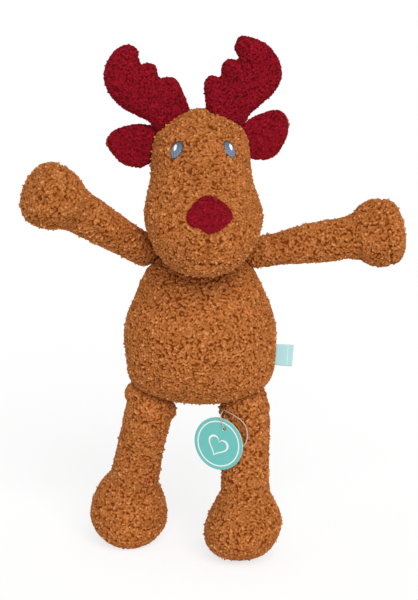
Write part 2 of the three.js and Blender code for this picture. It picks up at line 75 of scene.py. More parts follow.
# Light: the lamp's strength, spread and direction, the world's, and the floor's half width in
# metres, its white and the share of that in what the camera sees of it
KEY_STRENGTH, KEY_SPREAD, KEY_TOWARDS = 2.0, 40, (-0.2, 0.9, -0.65)
WORLD_LIGHT, FLOOR_HALF, FLOOR_WHITE, FLOOR_WHITE_SHARE = 0.4, 6.0, 1.14, 0.65

# Cloth: how wide its curls are, how high its pile stands and how fine its faces are
CARAMEL_CURL, CARAMEL_PILE = 1.9, 2.1
CRIMSON_CURL, CRIMSON_PILE = 1.55, 1.0
BODY_GRAIN, TRIM_GRAIN, EAR_GRAIN, NOSE_GRAIN, STUFFING_GRAIN = 1.0, 0.85, 0.9, 0.9, 2.6
SEAM_GAP = 0.4
# A curl, in its own widths: how far rows wander and over what distance, how near its cell's
# sides it may lie, how much it is drawn out, and the squared reach of a knot and of a stray tip
CURL_WANDER, CURL_WANDER_OVER, CURL_MARGIN, CURL_DRAWN = 0.4, 1.4, 0.08, 0.78
CURL_REACH, STRAY_REACH = 0.37, 0.07
# The least curl's height as a share, and which share of them don't stray
LEAST_CURL, STRAYS_FROM = 0.72, 0.94
# Fibre ends, lumps and tufts of the stuffing: how high they stand and how far apart
FUZZ, FUZZ_SPACING, LUMP_SPACING, TUFTS, TUFT_SPACING = 0.16, 0.9, 21, 0.6, 5
# How much of the pile lies below the cloth's line, what a seam takes from its height and how much
# painted shade it lays on its tone, and how deep a seam's cut is where that painted shade is
# fullest
PILE_SUNK, SEAM_FLATTENS, SEAM_PAINTED_SHADE, FULLEST_SHADE_CUT = 0.44, 0.5, 0.55, 2.2
# From where to where outside a socket the pile rises to its full height
PILE_RISES = (0.2, 2.2)
# Swelling: the size of its faces, how far the cloth may move, and the pressure. A toy this
# small needs far more of it than a seat pad before its cloth stirs.
SWELLING = {
    "body": (4, 1.6, 1200), "arm": (3, 1.6, 2000), "leg": (3.5, 1.6, 1600),
    "antler": (2, 0.8, 3000),
}
CLOTH_FRAMES = 20
# Where each piece's random draws start
SEED = {
    "torso": 1, "head": 2, "nose": 5, "antler": 11, "ear": 21, "arm": 31, "leg": 41,
    "stuffing": 51,
}
# Seams and folds: how deep they draw the cloth in and how wide
SEAT_SEAM, BODY_SEAM, HEAD_SEAM, LIMB_SEAM = (0.8, 1.4), (0.9, 1.3), (0.8, 1.3), (0.8, 1.2)
MUZZLE_SEAM, LIP_SEAM, MOUTH_FOLD = (1.3, 1), (1.1, 1.1), (2.2, 1.1)
WRIST_FOLD, PAW_FOLD = (0.5, 2), (1.1, 1.2)

# Torso: height, half width, half depth and how far the section sits back, as shares
TORSO_BOTTOM, TORSO_HEIGHT, TORSO_WIDTH, TORSO_DEPTH = 115, 126, 110, 80
TORSO = [
    (0, 0, 0, 0), (0.02, 0.5, 0.45, 0), (0.07, 0.79, 0.7, 0), (0.14, 0.935, 0.88, 0),
    (0.25, 0.98, 0.97, 0), (0.39, 1, 1, 0), (0.5, 0.973, 0.97, 0.01), (0.61, 0.885, 0.89, 0.02),
    (0.71, 0.787, 0.77, 0.04), (0.8, 0.675, 0.62, 0.07), (0.88, 0.52, 0.48, 0.1),
    (0.95, 0.33, 0.33, 0.1), (1, 0, 0, 0.1),
]
NECK_RADIUS, NECK_BACK = 22, 4
NECK = Vector((0, NECK_BACK, TORSO_BOTTOM + TORSO_HEIGHT - 7))
SHOULDER_SPACING, SHOULDER_DROP = 81, 8
HIP_SPACING, HIP_ASIDE, HIP_DROP = 71, 1.8, 7
SIDES = {"left": -1, "right": 1}
SHOULDER = {
    k: Vector((s * SHOULDER_SPACING / 2, NECK_BACK, NECK.z - SHOULDER_DROP))
    for k, s in SIDES.items()
}
HIP = {
    k: Vector((s * HIP_SPACING / 2 - HIP_ASIDE, 0, TORSO_BOTTOM - HIP_DROP))
    for k, s in SIDES.items()
}

# Head: height above the chin, half width, half depth and how far the section sits back
HEAD_HEIGHT, HEAD_WIDTH, HEAD_DEPTH, CHIN_DROP = 112, 84, 88, 18
HEAD_TURN = 4
HEAD = [
    (0, 0, 0, -0.48), (0.045, 0.5, 0.39, -0.48), (0.092, 0.67, 0.58, -0.44),
    (0.152, 0.805, 0.74, -0.39), (0.21, 0.9, 0.86, -0.35), (0.296, 0.975, 0.97, -0.29),
    (0.388, 1, 1, -0.23), (0.472, 0.935, 0.95, -0.15), (0.552, 0.862, 0.875, -0.075),
    (0.641, 0.838, 0.81, -0.02), (0.745, 0.818, 0.757, 0), (0.827, 0.774, 0.67, 0.02),
    (0.9, 0.63, 0.52, 0.03), (0.95, 0.42, 0.35, 0.03), (1, 0, 0, 0.03),
]

# Where the stuffing makes a form fuller or flatter than its pattern: place, reach and step
HEAD_NUDGES = [
    ((46, -25, 252), 15, (1, 0, 0)), ((-42, -25, 258), 24, (0.6, 0, 0)),
    ((-3, 4, 329), 14, (0, 0, -0.8)),
]
ARM_NUDGES = {
    "left": [((-117, -40, 254), 14, (-2.6, 0, -2.2)), ((-119, -42, 290), 12, (1.6, 0, -0.6))],
    "right": [],
}
LEG_NUDGES = {
    "left": [
        ((-39, 32, 8), 15, (3, 0, 0)), ((-59, 5, 6), 24, (0, -4, 0)),
        ((-84, 32, 38), 14, (1.2, 0, 0)), ((-27, 28, 66), 16, (-1.1, 0, 0)),
        ((-26, 28, 38), 10, (-0.6, 0, 0)),
    ],
    "right": [
        ((52, -18, 8), 17, (-3.4, 0, 0)), ((8, -18, 38), 14, (3.2, 0, 0)),
        ((42, -38, 5), 14, (-0.8, 0, 1.6)), ((57, -18, 30), 12, (1.3, 0, 0)),
    ],
}

# Arms: distance along the arm, half width and half depth as shares of the paw's
ARM_LENGTH, ARM_RADIUS, PAW_WIDTH, PAW_DEPTH = 107, 12, 49, 42
ARM = [
    (-0.06, 0, 0), (0.02, 0.44, 0.52), (0.15, 0.46, 0.55), (0.3, 0.555, 0.61), (0.5, 0.612, 0.66),
    (0.6, 0.61, 0.69), (0.67, 0.7, 0.76), (0.73, 0.88, 0.9), (0.79, 0.99, 0.98),
    (0.86, 1, 1), (0.925, 0.94, 0.94), (0.967, 0.73, 0.74), (0.987, 0, 0),
]
ARM_RAISED = {"left": 31.4, "right": 8.8}
ARM_FORWARD = {"left": 36, "right": 0}
ARM_ROLL = {"left": 60, "right": 0}
# From where to where along each, from its joint or root, the cloth would bend as it turns; the
# points are worked out but nothing here bends it
ARM_BEND, LEG_BEND, ANTLER_BEND = (-5, 12), (-8, 16), (1, 14)
EAR_BEND, LABEL_BEND = (1, 12), (0.3, 5)
# The sleeves hang a little below their sockets
ARM_SETTLES = {"left": -0.6, "right": -1.8}

# Legs: height above the sole as a share of the foot's, half width and depth, and how far back
LEG_RADIUS, FOOT_WIDTH, FOOT_DEPTH, FOOT_HEIGHT, ROOT_SHARE = 17.4, 56, 62, 52, 0.97
FOOT = [
    (0, 0, 0, -0.06), (0.03, 0.4, 0.4, -0.06), (0.1, 0.72, 0.72, -0.06), (0.24, 0.93, 0.94, -0.06),
    (0.42, 1, 1, -0.05), (0.6, 0.95, 0.94, -0.03), (0.77, 0.83, 0.79, -0.01), (0.89, 0.7, 0.65, 0),
    (0.97, 0.63, 0.58, 0),
]
FOOT_PLACE = {"left": Vector((-59, 32, 0)), "right": Vector((30, -18, 0))}
SOLE_CUT = 0.5
# How much slimmer than its socket a leg is, and the ball at the root of each limb
LEG_EASE, ROOT_EASE = 0.7, 0.8
# The ankles stand a little to one side of the feet: how far over, in shares of the height
FOOT_SKEW = {"left": -0.02, "right": 0.03}
# Where the leg's cloth bunches as it is gathered into the seat: across, above the hip, radius
GATHERS = {
    "left": [(-8.4, 12, 9), (-6.2, -2, 11), (9.6, 0, 9.5)],
    "right": [(6.4, 10, 8), (-9.8, 0, 9.5)],
}

# Antlers: a palm with three blunt tines on the inner side, as shares of width and height
ANTLER_WIDTH, ANTLER_HEIGHT, ANTLER_THICKNESS, ANTLER_FOOT = 55, 58, 12, 0.32
ANTLER = {
    "left": [
        (0.02, -0.12), (-0.003, 0), (0, 0.12), (0.008, 0.25), (0.02, 0.37), (0.06, 0.45),
        (0.14, 0.485), (0.22, 0.5), (0.256, 0.545), (0.244, 0.63), (0.24, 0.69), (0.28, 0.73),
        (0.345, 0.766), (0.405, 0.752), (0.448, 0.745), (0.446, 0.82), (0.423, 0.9),
        (0.424, 0.975), (0.47, 1.035), (0.56, 1.062), (0.66, 1.056), (0.75, 1.018),
        (0.84, 0.96), (0.91, 0.885), (0.96, 0.79), (0.97, 0.68), (0.955, 0.57), (0.92, 0.468),
        (0.862, 0.366), (0.785, 0.275), (0.7, 0.19), (0.63, 0.124), (0.568, 0.045), (0.5, -0.1),
    ],
    "right": [
        (0.12, -0.08), (0.085, 0.04), (0.062, 0.17), (0.038, 0.29), (0.025, 0.37), (0.04, 0.44),
        (0.078, 0.487), (0.12, 0.5), (0.165, 0.485), (0.228, 0.445), (0.274, 0.425),
        (0.345, 0.427), (0.287, 0.492), (0.243, 0.533), (0.23, 0.58), (0.245, 0.64),
        (0.284, 0.7), (0.34, 0.72), (0.395, 0.71), (0.47, 0.67), (0.54, 0.643),
        (0.488, 0.715), (0.445, 0.785), (0.395, 0.84), (0.415, 0.9), (0.44, 0.965), (0.475, 1),
        (0.53, 1), (0.62, 0.978), (0.72, 0.95), (0.82, 0.9), (0.895, 0.83), (0.965, 0.735),
        (1.012, 0.61), (1.01, 0.49), (0.96, 0.388), (0.9, 0.3), (0.821, 0.222),
        (0.748, 0.158), (0.673, 0.1), (0.61, 0.03), (0.54, -0.1),
    ],
}
ANTLER_ACROSS = {"left": 0.5476, "right": 0.4167}
ANTLER_RISE = {"left": 0.9286, "right": 0.9375}
# The pile stands out past the sewn edge
ANTLER_OUTSET = {"left": 1.0, "right": 1.4}
ANTLER_LEAN = {"left": 20, "right": 3}
ANTLER_TURN = {"left": 22, "right": 0}

# Ears: a crimson lining in front of a caramel panel
EAR_LENGTH, EAR_WIDTH, EAR_PANEL, EAR_FROM_AXIS, EAR_BEHIND_NECK = 33, 32, 3.4, 36, 2
EAR = {
    "left": [
        (-0.15, 0.3), (0.05, 0.46), (0.2, 0.5), (0.38, 0.515), (0.55, 0.485), (0.78, 0.43),
        (0.93, 0.34), (1.02, 0.2), (1.045, 0.1), (0.96, -0.06), (0.85, -0.2), (0.74, -0.335),
        (0.53, -0.405), (0.34, -0.45), (0.18, -0.38), (0.02, -0.28), (-0.15, -0.2),
    ],
    "right": [
        (-0.15, 0.26), (0.05, 0.4), (0.205, 0.417), (0.325, 0.45), (0.547, 0.43), (0.72, 0.41),
        (0.87, 0.36), (0.99, 0.26), (1.03, 0.07), (1, -0.07), (0.91, -0.22), (0.79, -0.35),
        (0.64, -0.46), (0.52, -0.53), (0.36, -0.57), (0.18, -0.54), (0.03, -0.46),
        (-0.1, -0.33), (-0.15, -0.15),
    ],
}
# The back panel is sewn a little lower and farther out, so it shows along the lower edge
EAR_BACK_SHIFT = (0.5, -0.9)
EAR_OUTSET = {"left": 0.5, "right": 0.1}
EAR_RISE = {"left": 0.7545, "right": 0.7946}
EAR_LIFT = {"left": 0, "right": 27}

# Nose, mouth and eyes, with the mouth and the seam above it as places across and above the chin
NOSE_WIDTH, NOSE_HEIGHT, NOSE_RISE, NOSE_ASIDE = 33, 30, 0.42, 2.4
NOSE_PLUMP, NOSE_SUNK, PATCH_DEPTH = 3.4, 0.6, 1.2
MUZZLE = [(0.8, 34), (0.6, 29), (0.4, 24), (0.5, 19), (0.8, 14), (1, 11)]
MOUTH = [(-6, 12.6), (-2.5, 11.4), (1, 11), (5, 10.8), (10, 11.6)]
NOSE = [
    (0, 1), (0.5, 0.72), (0.86, 0.32), (0.98, -0.12), (0.72, -0.55), (0.3, -0.88),
    (-0.08, -0.98), (-0.5, -0.72), (-0.92, -0.5), (-0.98, 0.05), (-0.76, 0.42), (-0.4, 0.82),
]
EYE_WIDTH, EYE_HEIGHT, EYE_SPACING, EYE_RISE = 8.6, 13.4, 36.4, 0.768
EYE_LEAN = 14
# Strands of floss are 0.4 mm wide, drawn as coarse as they need to show
STITCH = 1.3
GLINT_WIDTH, GLINT_HEIGHT, GLINT_FROM_MIDDLE, GLINT_UP = 2.4, 5, 1.4, 0.9

# Hang tag, its loop, and the ribbon label
TAG_RADIUS, TAG_THICKNESS, TAG_HOLE, TAG_HOLE_OUT = 19.5, 0.8, 1.5, 12.6
TAG_FROM_HIP = Vector((-20.5, -18.3, -20.5))
TAG_TURN, TAG_ROLL = 28, 23
# The printed ring's radii as shares of the card's, and the heart's outer and inner size
TAG_RING, TAG_HEART, PRINT_THICKNESS = (0.875, 0.825), (17, 14), 0.05
LOOP_DIAMETER = 0.9
LOOP_START = [
    (18.4, -11.6, 109.6), (21.8, -16, 109.3), (26.3, -19.4, 107.4), (30.6, -20.9, 104.2),
    (33.2, -21.4, 99.5), (33.8, -22.4, 94.5), (33, -23.4, 90.2), (30.8, -24.1, 86.9),
    (26.2, -22.9, 86),
]
LOOP_AT_TAG = [
    (9, 0.5, -1.6), (6.5, 5, -1.45), (5.2, 9.4, -1.4), (4.9, 11.5, -0.4), (4.8, 12.5, 0.7),
    (4.2, 14.2, 1.3), (2.8, 17.6, 1.2), (1.9, 20.6, 0.7), (1.9, 23.4, -1.8),
]
LOOP_END = (17.8, -10, 110.2)
LABEL_LENGTH, LABEL_HEIGHT, RIBBON, RIBBON_FOLD = 13.8, 15.5, 0.5, 0.6
LABEL_ABOVE, LABEL_OFF, LABEL_ROOT = 34.2, -0.6, 0.98
LABEL_DROOP = 4
# The running stitch: how far out it lies, how far apart, and half the size of each stitch
LABEL_STITCH, LABEL_STITCH_PITCH, LABEL_STITCH_SHAPE = 9.8, 1.7, (0.28, 0.16, 0.55)


# Places, in the frame of the whole object: each piece's own matrix, from millimetres to metres


def turned(axis, degrees):
    return Matrix.Rotation(math.radians(degrees), 4, axis)


def placed(at, *turns):
    """The matrix that turns about the given axes in order, then moves to a place"""
    matrix = Matrix.Translation(at)
    for turn in turns:
        matrix = matrix @ turn
    return matrix


SCALE = Matrix.Scale(MM, 4)
HEAD_FRAME = placed(NECK, turned("Z", HEAD_TURN))


def in_metres(matrix=Matrix()):
    """A matrix in the deer's millimetres as one that puts points into the row frame"""
    return DEER @ SCALE @ matrix


# Making and changing meshes


def linked(name, data):
    """A new object of the scene that holds this data"""
    made = bpy.data.objects.new(name, data)
    bpy.context.scene.collection.objects.link(made)
    return made


def moved(points, matrix):
    array = np.array(matrix)
    return np.asarray(points, float) @ array[:3, :3].T + array[:3, 3]


def piece(name, points, faces, matrix=Matrix()):
    """An object whose mesh lies in the row frame, with points given in a piece's millimetres"""
    mesh = bpy.data.meshes.new(name)
    mesh.from_pydata(moved(points, in_metres(matrix)).tolist(), [], faces)
    return linked(name, mesh)


def as_mesh(made):
    """A mesh of what an object looks like with its modifiers"""
    graph = bpy.context.evaluated_depsgraph_get()
    return bpy.data.meshes.new_from_object(made.evaluated_get(graph))


def settle(made):
    """Applies an object's modifiers"""
    mesh = as_mesh(made)
    made.modifiers.clear()
    old, made.data = made.data, mesh
    bpy.data.meshes.remove(old)
    mesh.name = made.name
    return made


def modify(made, kind, **settings):
    modifier = made.modifiers.new(kind.title(), kind)
    for name, value in settings.items():
        setattr(modifier, name, value)
    return settle(made)


def even(made, grain, smoothing=4):
    """The same surface in even faces of a grain's size in millimetres, softened at its edges"""
    modify(made, "REMESH", mode="VOXEL", voxel_size=grain * MM)
    return modify(made, "SMOOTH", factor=0.5, iterations=smoothing)


def finer(made):
    return modify(made, "SUBSURF", levels=1, render_levels=1)


def joined(made, *others):
    """One object holding the meshes of several"""
    mesh = bmesh.new()
    for o in (made, *others):
        mesh.from_mesh(o.data)
    mesh.to_mesh(made.data)
    mesh.free()
    for o in others:
        bpy.data.objects.remove(o)
    return made


def carved(made, *tools):
    for tool in tools:
        modify(made, "BOOLEAN", operation="DIFFERENCE", solver="EXACT", object=tool)
        bpy.data.objects.remove(tool)
    return made


def facing_out(made):
    mesh = bmesh.new()
    mesh.from_mesh(made.data)
    bmesh.ops.recalc_face_normals(mesh, faces=mesh.faces)
    mesh.to_mesh(made.data)
    mesh.free()
    return made


def vectors(items, field):
    found = np.empty(len(items) * 3, np.float32)
    items.foreach_get(field, found)
    return found.reshape(-1, 3).astype(float)


def places(made):
    return vectors(made.data.vertices, "co")


def normals(made):
    return vectors(made.data.vertex_normals, "vector")


def move_to(made, co):
    made.data.vertices.foreach_set("co", co.astype(np.float32).ravel())
    made.data.update()


def swelled(made, kind):
    """Lets the filling push the cloth out and draw it in, no farther than its cap"""
    cell, cap, pressure = SWELLING[kind]
    modify(made, "REMESH", mode="VOXEL", voxel_size=cell * MM)
    sewn = places(made)
    cloth = made.modifiers.new("Cloth", "CLOTH").settings
    cloth.use_pressure = True
    cloth.uniform_pressure_force = pressure
    cloth.effector_weights.gravity = 0
    cloth.quality = 4
    for step in range(1, CLOTH_FRAMES + 1):
        bpy.context.scene.frame_set(step)
    settle(made)
    bpy.context.scene.frame_set(1)
    moves = places(made) - sewn
    far = np.linalg.norm(moves, axis=1)[:, None] / MM
    move_to(made, sewn + moves * np.minimum(1, cap / np.maximum(far, 1e-6)))
    return finer(made)


def remember(made, name, values):
    """Keeps a number for each vertex, for the materials"""
    layer = made.data.attributes.get(name) or made.data.attributes.new(name, "FLOAT", "POINT")
    layer.data.foreach_set("value", np.asarray(values, np.float32))


def recalled(made, name):
    """The numbers kept for each vertex, or 0 where there are none"""
    found = np.zeros(len(made.data.vertices), np.float32)
    layer = made.data.attributes.get(name)
    if layer:
        layer.data.foreach_get("value", found)
    return found


def skin_of(made):
    mesh = bmesh.new()
    mesh.from_mesh(made.data)
    tree = BVHTree.FromBMesh(mesh)
    mesh.free()
    return tree


def outside(points, skin):
    """How far each point stands outside a skin, in millimetres, negative inside"""
    found = np.empty(len(points))
    for i, p in enumerate(points):
        at, normal, _, distance = skin.find_nearest(p)
        found[i] = math.copysign(distance, (Vector(p) - at).dot(normal))
    return found / MM


# Curves and forms


def ramp(value, low, high):
    t = np.clip((value - low) / (high - low), 0, 1)
    return t * t * (3 - 2 * t)


def smooth(a, b, c, d, t):
    """The value at share t between b and c of a curve through a, b, c and d"""
    square, cube = 2 * a - 5 * b + 4 * c - d, 3 * b - a - 3 * c + d
    return 0.5 * (2 * b + (c - a) * t + square * t**2 + cube * t**3)


def curve_through(points, steps, closed=False):
    """Points along a centripetal curve through the given ones"""
    p = np.asarray(points, float)
    n = len(p)
    if closed:
        p = np.vstack([p[-1], p, p[:2]])
    else:
        p = np.vstack([2 * p[0] - p[1], p, 2 * p[-1] - p[-2]])
        n -= 1
    out = []
    for i in range(n):
        four = p[i : i + 4]
        gaps = (max(np.linalg.norm(v - u), 1e-6) ** 0.5 for u, v in zip(four, four[1:]))
        t = np.cumsum([0, *gaps])
        for s in np.linspace(t[1], t[2], steps, endpoint=False):
            at = four
            for knots in (((0, 1), (1, 2), (2, 3)), ((0, 2), (1, 3)), ((1, 2),)):
                at = [
                    u + (v - u) * (s - t[j]) / (t[k] - t[j])
                    for u, v, (j, k) in zip(at, at[1:], knots)
                ]
            out.append(at[0])
    if not closed:
        out.append(p[-2])
    return np.array(out)


def stations(table, length, width, depth, low=0.0, back_unit=0.0, back_shift=0.0):
    """Rows of shares as rows of millimetres"""
    return [
        (low + row[0] * length, row[1] * width / 2, row[2] * depth / 2,
         (row[3] if len(row) > 3 else 0) * back_unit + back_shift)
        for row in table
    ]


def stuffed(rows, steps=4, sides=44):
    """Points and faces of a form with elliptical sections along Z, from point to point.

    A row is a section's height, half width, half depth and how far it sits back.
    """
    rows = np.array(rows, float)
    mirror = np.array([1, -1, -1, 1])
    rows = np.vstack([rows[1] * mirror, rows, rows[-2] * mirror])
    rings = [
        smooth(*rows[i : i + 4], step / steps)
        for i in range(len(rows) - 3) for step in range(steps)
    ][1:]
    angle = 2 * np.pi * np.arange(sides) / sides
    points = [(0, rows[1, 3], rows[1, 0])]
    for at, width, depth, back in rings:
        points += zip(width * np.cos(angle), back + depth * np.sin(angle), np.full(sides, at))
    points.append((0, rows[-2, 3], rows[-2, 0]))
    last = len(points) - 1
    faces = []
    for j in range(sides):
        k = (j + 1) % sides
        faces.append((0, 1 + k, 1 + j))
        faces.append((last, last - sides + j, last - sides + k))
        for i in range(len(rings) - 1):
            a, b = 1 + i * sides + j, 1 + i * sides + k
            faces.append((a, b, b + sides, a + sides))
    return points, faces


def cushion(name, rows, kind, matrix=Matrix()):
    """A form that its filling swells to its shape"""
    return swelled(piece(name, *stuffed(rows), matrix), kind)


def nudged(made, nudges):
    """Moves the cloth near each place by a step that fades over a reach, in millimetres"""
    co = places(made)
    for at, reach, step in nudges:
        gap = np.linalg.norm(co - np.array(in_metres() @ Vector(at)), axis=1) / MM
        co += np.exp(-((gap / reach) ** 2))[:, None] * np.array(step) * MM
    move_to(made, co)
    return made


def ball(name, radius, at=(0, 0, 0), matrix=Matrix()):
    mesh = bmesh.new()
    bmesh.ops.create_icosphere(mesh, subdivisions=4, radius=radius)
    points = [v.co + Vector(at) for v in mesh.verts]
    faces = [[v.index for v in f.verts] for f in mesh.faces]
    mesh.free()
    return piece(name, points, faces, matrix)


def oval(width, height, count):
    angle = 2 * np.pi * np.arange(count) / count
    return np.stack([width / 2 * np.cos(angle), height / 2 * np.sin(angle)], 1)


def outset(edge, by):
    """A closed outline in XZ moved outward by millimetres"""
    following = np.roll(edge, -1, 0)
    turn = np.sign((edge[:, 0] * following[:, 1] - edge[:, 1] * following[:, 0]).sum())
    along = following - np.roll(edge, 1, 0)
    out = turn * np.stack([along[:, 1], -along[:, 0]], 1)
    return edge + by * out / np.linalg.norm(along, axis=1)[:, None]


def inside_of(edge, x, y):
    """Which points of a plane lie inside a closed outline"""
    found = np.zeros(x.shape, bool)
    for (x1, y1), (x2, y2) in zip(edge, np.roll(edge, -1, 0)):
        if y1 != y2:
            found ^= ((y1 > y) != (y2 > y)) & (x < (x2 - x1) * (y - y1) / (y2 - y1) + x1)
    return found


def nearest_on(line, points):
    """For each point, the nearest place on a line of stretches and how far it is"""
    best = np.full(len(points), np.inf)
    where = np.zeros_like(points)
    for a, b in zip(line[:-1], line[1:]):
        along = b - a
        t = np.clip(((points - a) @ along) / max(along @ along, 1e-12), 0, 1)[:, None]
        at = a + t * along
        gap = np.linalg.norm(points - at, axis=1)
        nearer = gap < best
        best[nearer], where[nearer] = gap[nearer], at[nearer]
    return where, best


def pad(edge, half, reach, pitch):
    """Points and faces of a stuffed pad over a closed outline in XZ, at most half to each side.

    It is thickest where the edge is reach or more away.
    """
    low = edge.min(0) - pitch
    count = np.ceil((edge.max(0) + pitch - low) / pitch).astype(int) + 1
    x, y = np.meshgrid(*(low[k] + pitch * np.arange(count[k]) for k in (0, 1)), indexing="ij")
    within = inside_of(edge, x, y)
    cells = within[:-1, :-1] & within[1:, :-1] & within[:-1, 1:] & within[1:, 1:]
    kept = np.pad(cells, 1)
    around = [kept[:-1, :-1], kept[1:, :-1], kept[:-1, 1:], kept[1:, 1:]]
    used, inner = np.logical_or.reduce(around), np.logical_and.reduce(around)
    flat = np.stack([x[used], y[used]], 1)
    rim = ~inner[used]
    on_edge, gap = nearest_on(np.vstack([edge, edge[:1]]), flat)
    flat[rim] = on_edge[rim]
    gap[rim] = 0
    share = np.clip(gap / reach, 0, 1)
    height = half * np.sqrt(share * (2 - share))
    number = np.full(used.shape, -1)
    number[used] = np.arange(len(flat))
    back = np.arange(len(flat))
    back[~rim] = len(flat) + np.arange((~rim).sum())
    points = np.vstack([
        np.stack([flat[:, 0], -height, flat[:, 1]], 1),
        np.stack([flat[~rim, 0], height[~rim], flat[~rim, 1]], 1),
    ])
    faces = []
    for i, j in np.argwhere(cells):
        corners = [number[i, j], number[i + 1, j], number[i + 1, j + 1], number[i, j + 1]]
        faces.append([int(v) for v in corners])
        faces.append([int(back[v]) for v in reversed(corners)])
    return points, faces


def outline(table, width, height, steps):
    """A closed outline from shares of a width and a height"""
    return curve_through([(x * width, y * height) for x, y in table], steps, True)


def side_seam(rows, side):
    """The path down one side of a stuffed form"""
    return [(side * row[1], row[3], row[0]) for row in rows]


def round_fold(row, beyond):
    """A closed path round a stuffed form, a little beyond one of its sections"""
    at, wide, deep, back = row
    return [
        (wide * math.cos(a), back + deep * math.sin(a), at + beyond)
        for a in np.linspace(0, 2 * np.pi, 25)
    ]


def straight_spline(curve, points):
    """Adds a line of straight stretches through points in metres to a curve"""
    spline = curve.splines.new("POLY")
    spline.points.add(len(points) - 1)
    spline.points.foreach_set("co", np.column_stack([points, np.ones(len(points))]).ravel())
    return spline


# Pile


def scatter(cell, seed):
    """Three even random numbers from 0 to 1 for each row of whole numbers, by mixing its bits"""
    h = cell * (73856093, 19349663, 83492791)
    h = h[:, 0] ^ h[:, 1] ^ h[:, 2] ^ (seed * 26544357)
    out = []
    for k in range(3):
        v = (h + k * 668265263) & 0xFFFFFFFF
        for shift, factor in ((16, 0x45D9F3B), (15, 0x2C1B3C6D), (16, 1)):
            v = ((v ^ (v >> shift)) * factor) & 0xFFFFFFFF
        out.append(v / 0xFFFFFFFF)
    return np.stack(out, 1)


def drift(points, seed):
    """Smooth random shifts, from -1 to 1 along each axis, at points counted in their own cells"""
    cell = np.floor(points).astype(np.int64)
    t = points - cell
    t = t * t * (3 - 2 * t)
    total = np.zeros_like(points)
    for corner in itertools.product((0, 1), repeat=3):
        share = np.abs(1 - np.array(corner) - t).prod(1)
        total += share[:, None] * (2 * scatter(cell + corner, seed) - 1)
    return total


def curls(points, size, seed):
    """How high the pile stands at points in millimetres, 0 in the gaps to 1, and each curl's tone.

    A curl is a rounded knot of looped yarn, drawn out along a direction of its own, and a few
    stray above the rest.
    """
    p = points / size + CURL_WANDER * drift(points / (size * CURL_WANDER_OVER), seed + 7)
    home = np.floor(p).astype(np.int64)
    gap = np.full(len(p), np.inf)
    tone = np.zeros(len(p))
    for step in itertools.product((-1, 0, 1), repeat=3):
        cell = home + step
        place = scatter(cell, seed)
        lay = 2 * scatter(cell, seed + 1) - 1
        lay /= np.linalg.norm(lay, axis=1)[:, None] + 1e-9
        v = p - cell - CURL_MARGIN - (1 - 2 * CURL_MARGIN) * place
        d = (v * v).sum(1) - CURL_DRAWN * (v * lay).sum(1) ** 2
        nearer = d < gap
        tone = np.where(nearer, place[:, 0], tone)
        gap = np.where(nearer, d, gap)
    knot = np.sqrt(np.clip(1 - gap / CURL_REACH, 0, 1))
    stray = (tone > STRAYS_FROM) * np.exp(-gap / STRAY_REACH)
    return knot * (LEAST_CURL + (1 - LEAST_CURL) * tone) + 0.5 * stray, tone


def raise_pile(made, curl, height, seed, keep=1.0, lumps=0.0):
    """Turns the smooth cloth of a piece to curly pile, with its crowns just above where it was.

    keep gives how much of the pile each vertex keeps, from 0, pressed flat, to 1, and lumps how
    far the stuffing pushes it in and out.
    """
    co = places(made)
    crown, tone = curls(co / MM, curl, seed)
    fuzz = FUZZ * drift(co / MM / FUZZ_SPACING, seed + 3)[:, 0]
    soft = lumps * drift(co / MM / LUMP_SPACING, seed + 4)[:, 0]
    seam = recalled(made, "seam")
    lift = (height * (crown * (1 - SEAM_FLATTENS * seam) - PILE_SUNK) + fuzz + soft) * keep
    move_to(made, co + normals(made) * (lift * MM)[:, None])
    # The crown number that colours the pile is lowered as painted shade where the pile is pressed
    # flat, at limb roots and round sockets, and along seams
    remember(made, "crown", crown * (0.6 + 0.4 * keep) * (1 - SEAM_PAINTED_SHADE * seam))
    remember(made, "tone", tone)
    made.data.shade_smooth()


def crease(made, path, cut, matrix=Matrix()):
    """Draws the cloth in along a seam or fold whose path is in a piece's millimetres"""
    depth, width = cut
    co = places(made)
    _, gap = nearest_on(moved(path, in_metres(matrix)), co)
    share = np.exp(-((gap / MM / width) ** 2))
    move_to(made, co - normals(made) * (depth * MM * share)[:, None])
    # The seam number paints shade into the cloth's colour along the seam or fold, fuller the
    # deeper the cut
    dark = share * min(1, depth / FULLEST_SHADE_CUT)
    remember(made, "seam", np.maximum(recalled(made, "seam"), dark))


def clear_of(co, joints):
    """0 where the cloth lies in a joint's socket, rising to 1 outside it"""
    share = np.ones(len(co))
    for at, radius in joints:
        gap = np.linalg.norm(co - np.array(in_metres() @ at), axis=1) / MM - radius
        share *= ramp(gap, *PILE_RISES)
    return share


# Materials


def linear(code):
    """An sRGB hex colour as linear light"""
    parts = (int(code[i : i + 2], 16) / 255 for i in (1, 3, 5))
    return (*(c / 12.92 if c <= 0.04045 else ((c + 0.055) / 1.055) ** 2.4 for c in parts), 1)


def wire(node, inputs):
    """Sets a node's inputs, or links them to sockets or to other nodes' first outputs"""
    for name, value in inputs.items():
        if isinstance(value, bpy.types.Node):
            value = value.outputs[0]
        if isinstance(value, bpy.types.NodeSocket):
            node.id_data.links.new(value, node.inputs[name])
        else:
            node.inputs[name].default_value = value
    return node


def add(tree, kind, inputs=None, stops=(), **settings):
    """Adds a node with its settings and links, and any colour stops of place and hex colour"""
    made = tree.nodes.new("ShaderNode" + kind)
    for name, value in settings.items():
        setattr(made, name, value)
    if stops:
        points = made.color_ramp.elements
        for point, (at, code) in ((points[0], stops[0]), (points[1], stops[-1])):
            point.position, point.color = at, linear(code)
        for at, code in stops[1:-1]:
            points.new(at).color = linear(code)
    return wire(made, inputs or {})


def new_material(name):
    material = bpy.data.materials.new(name)
    material.use_nodes = True
    tree = material.node_tree
    return material, tree, tree.nodes["Principled BSDF"]


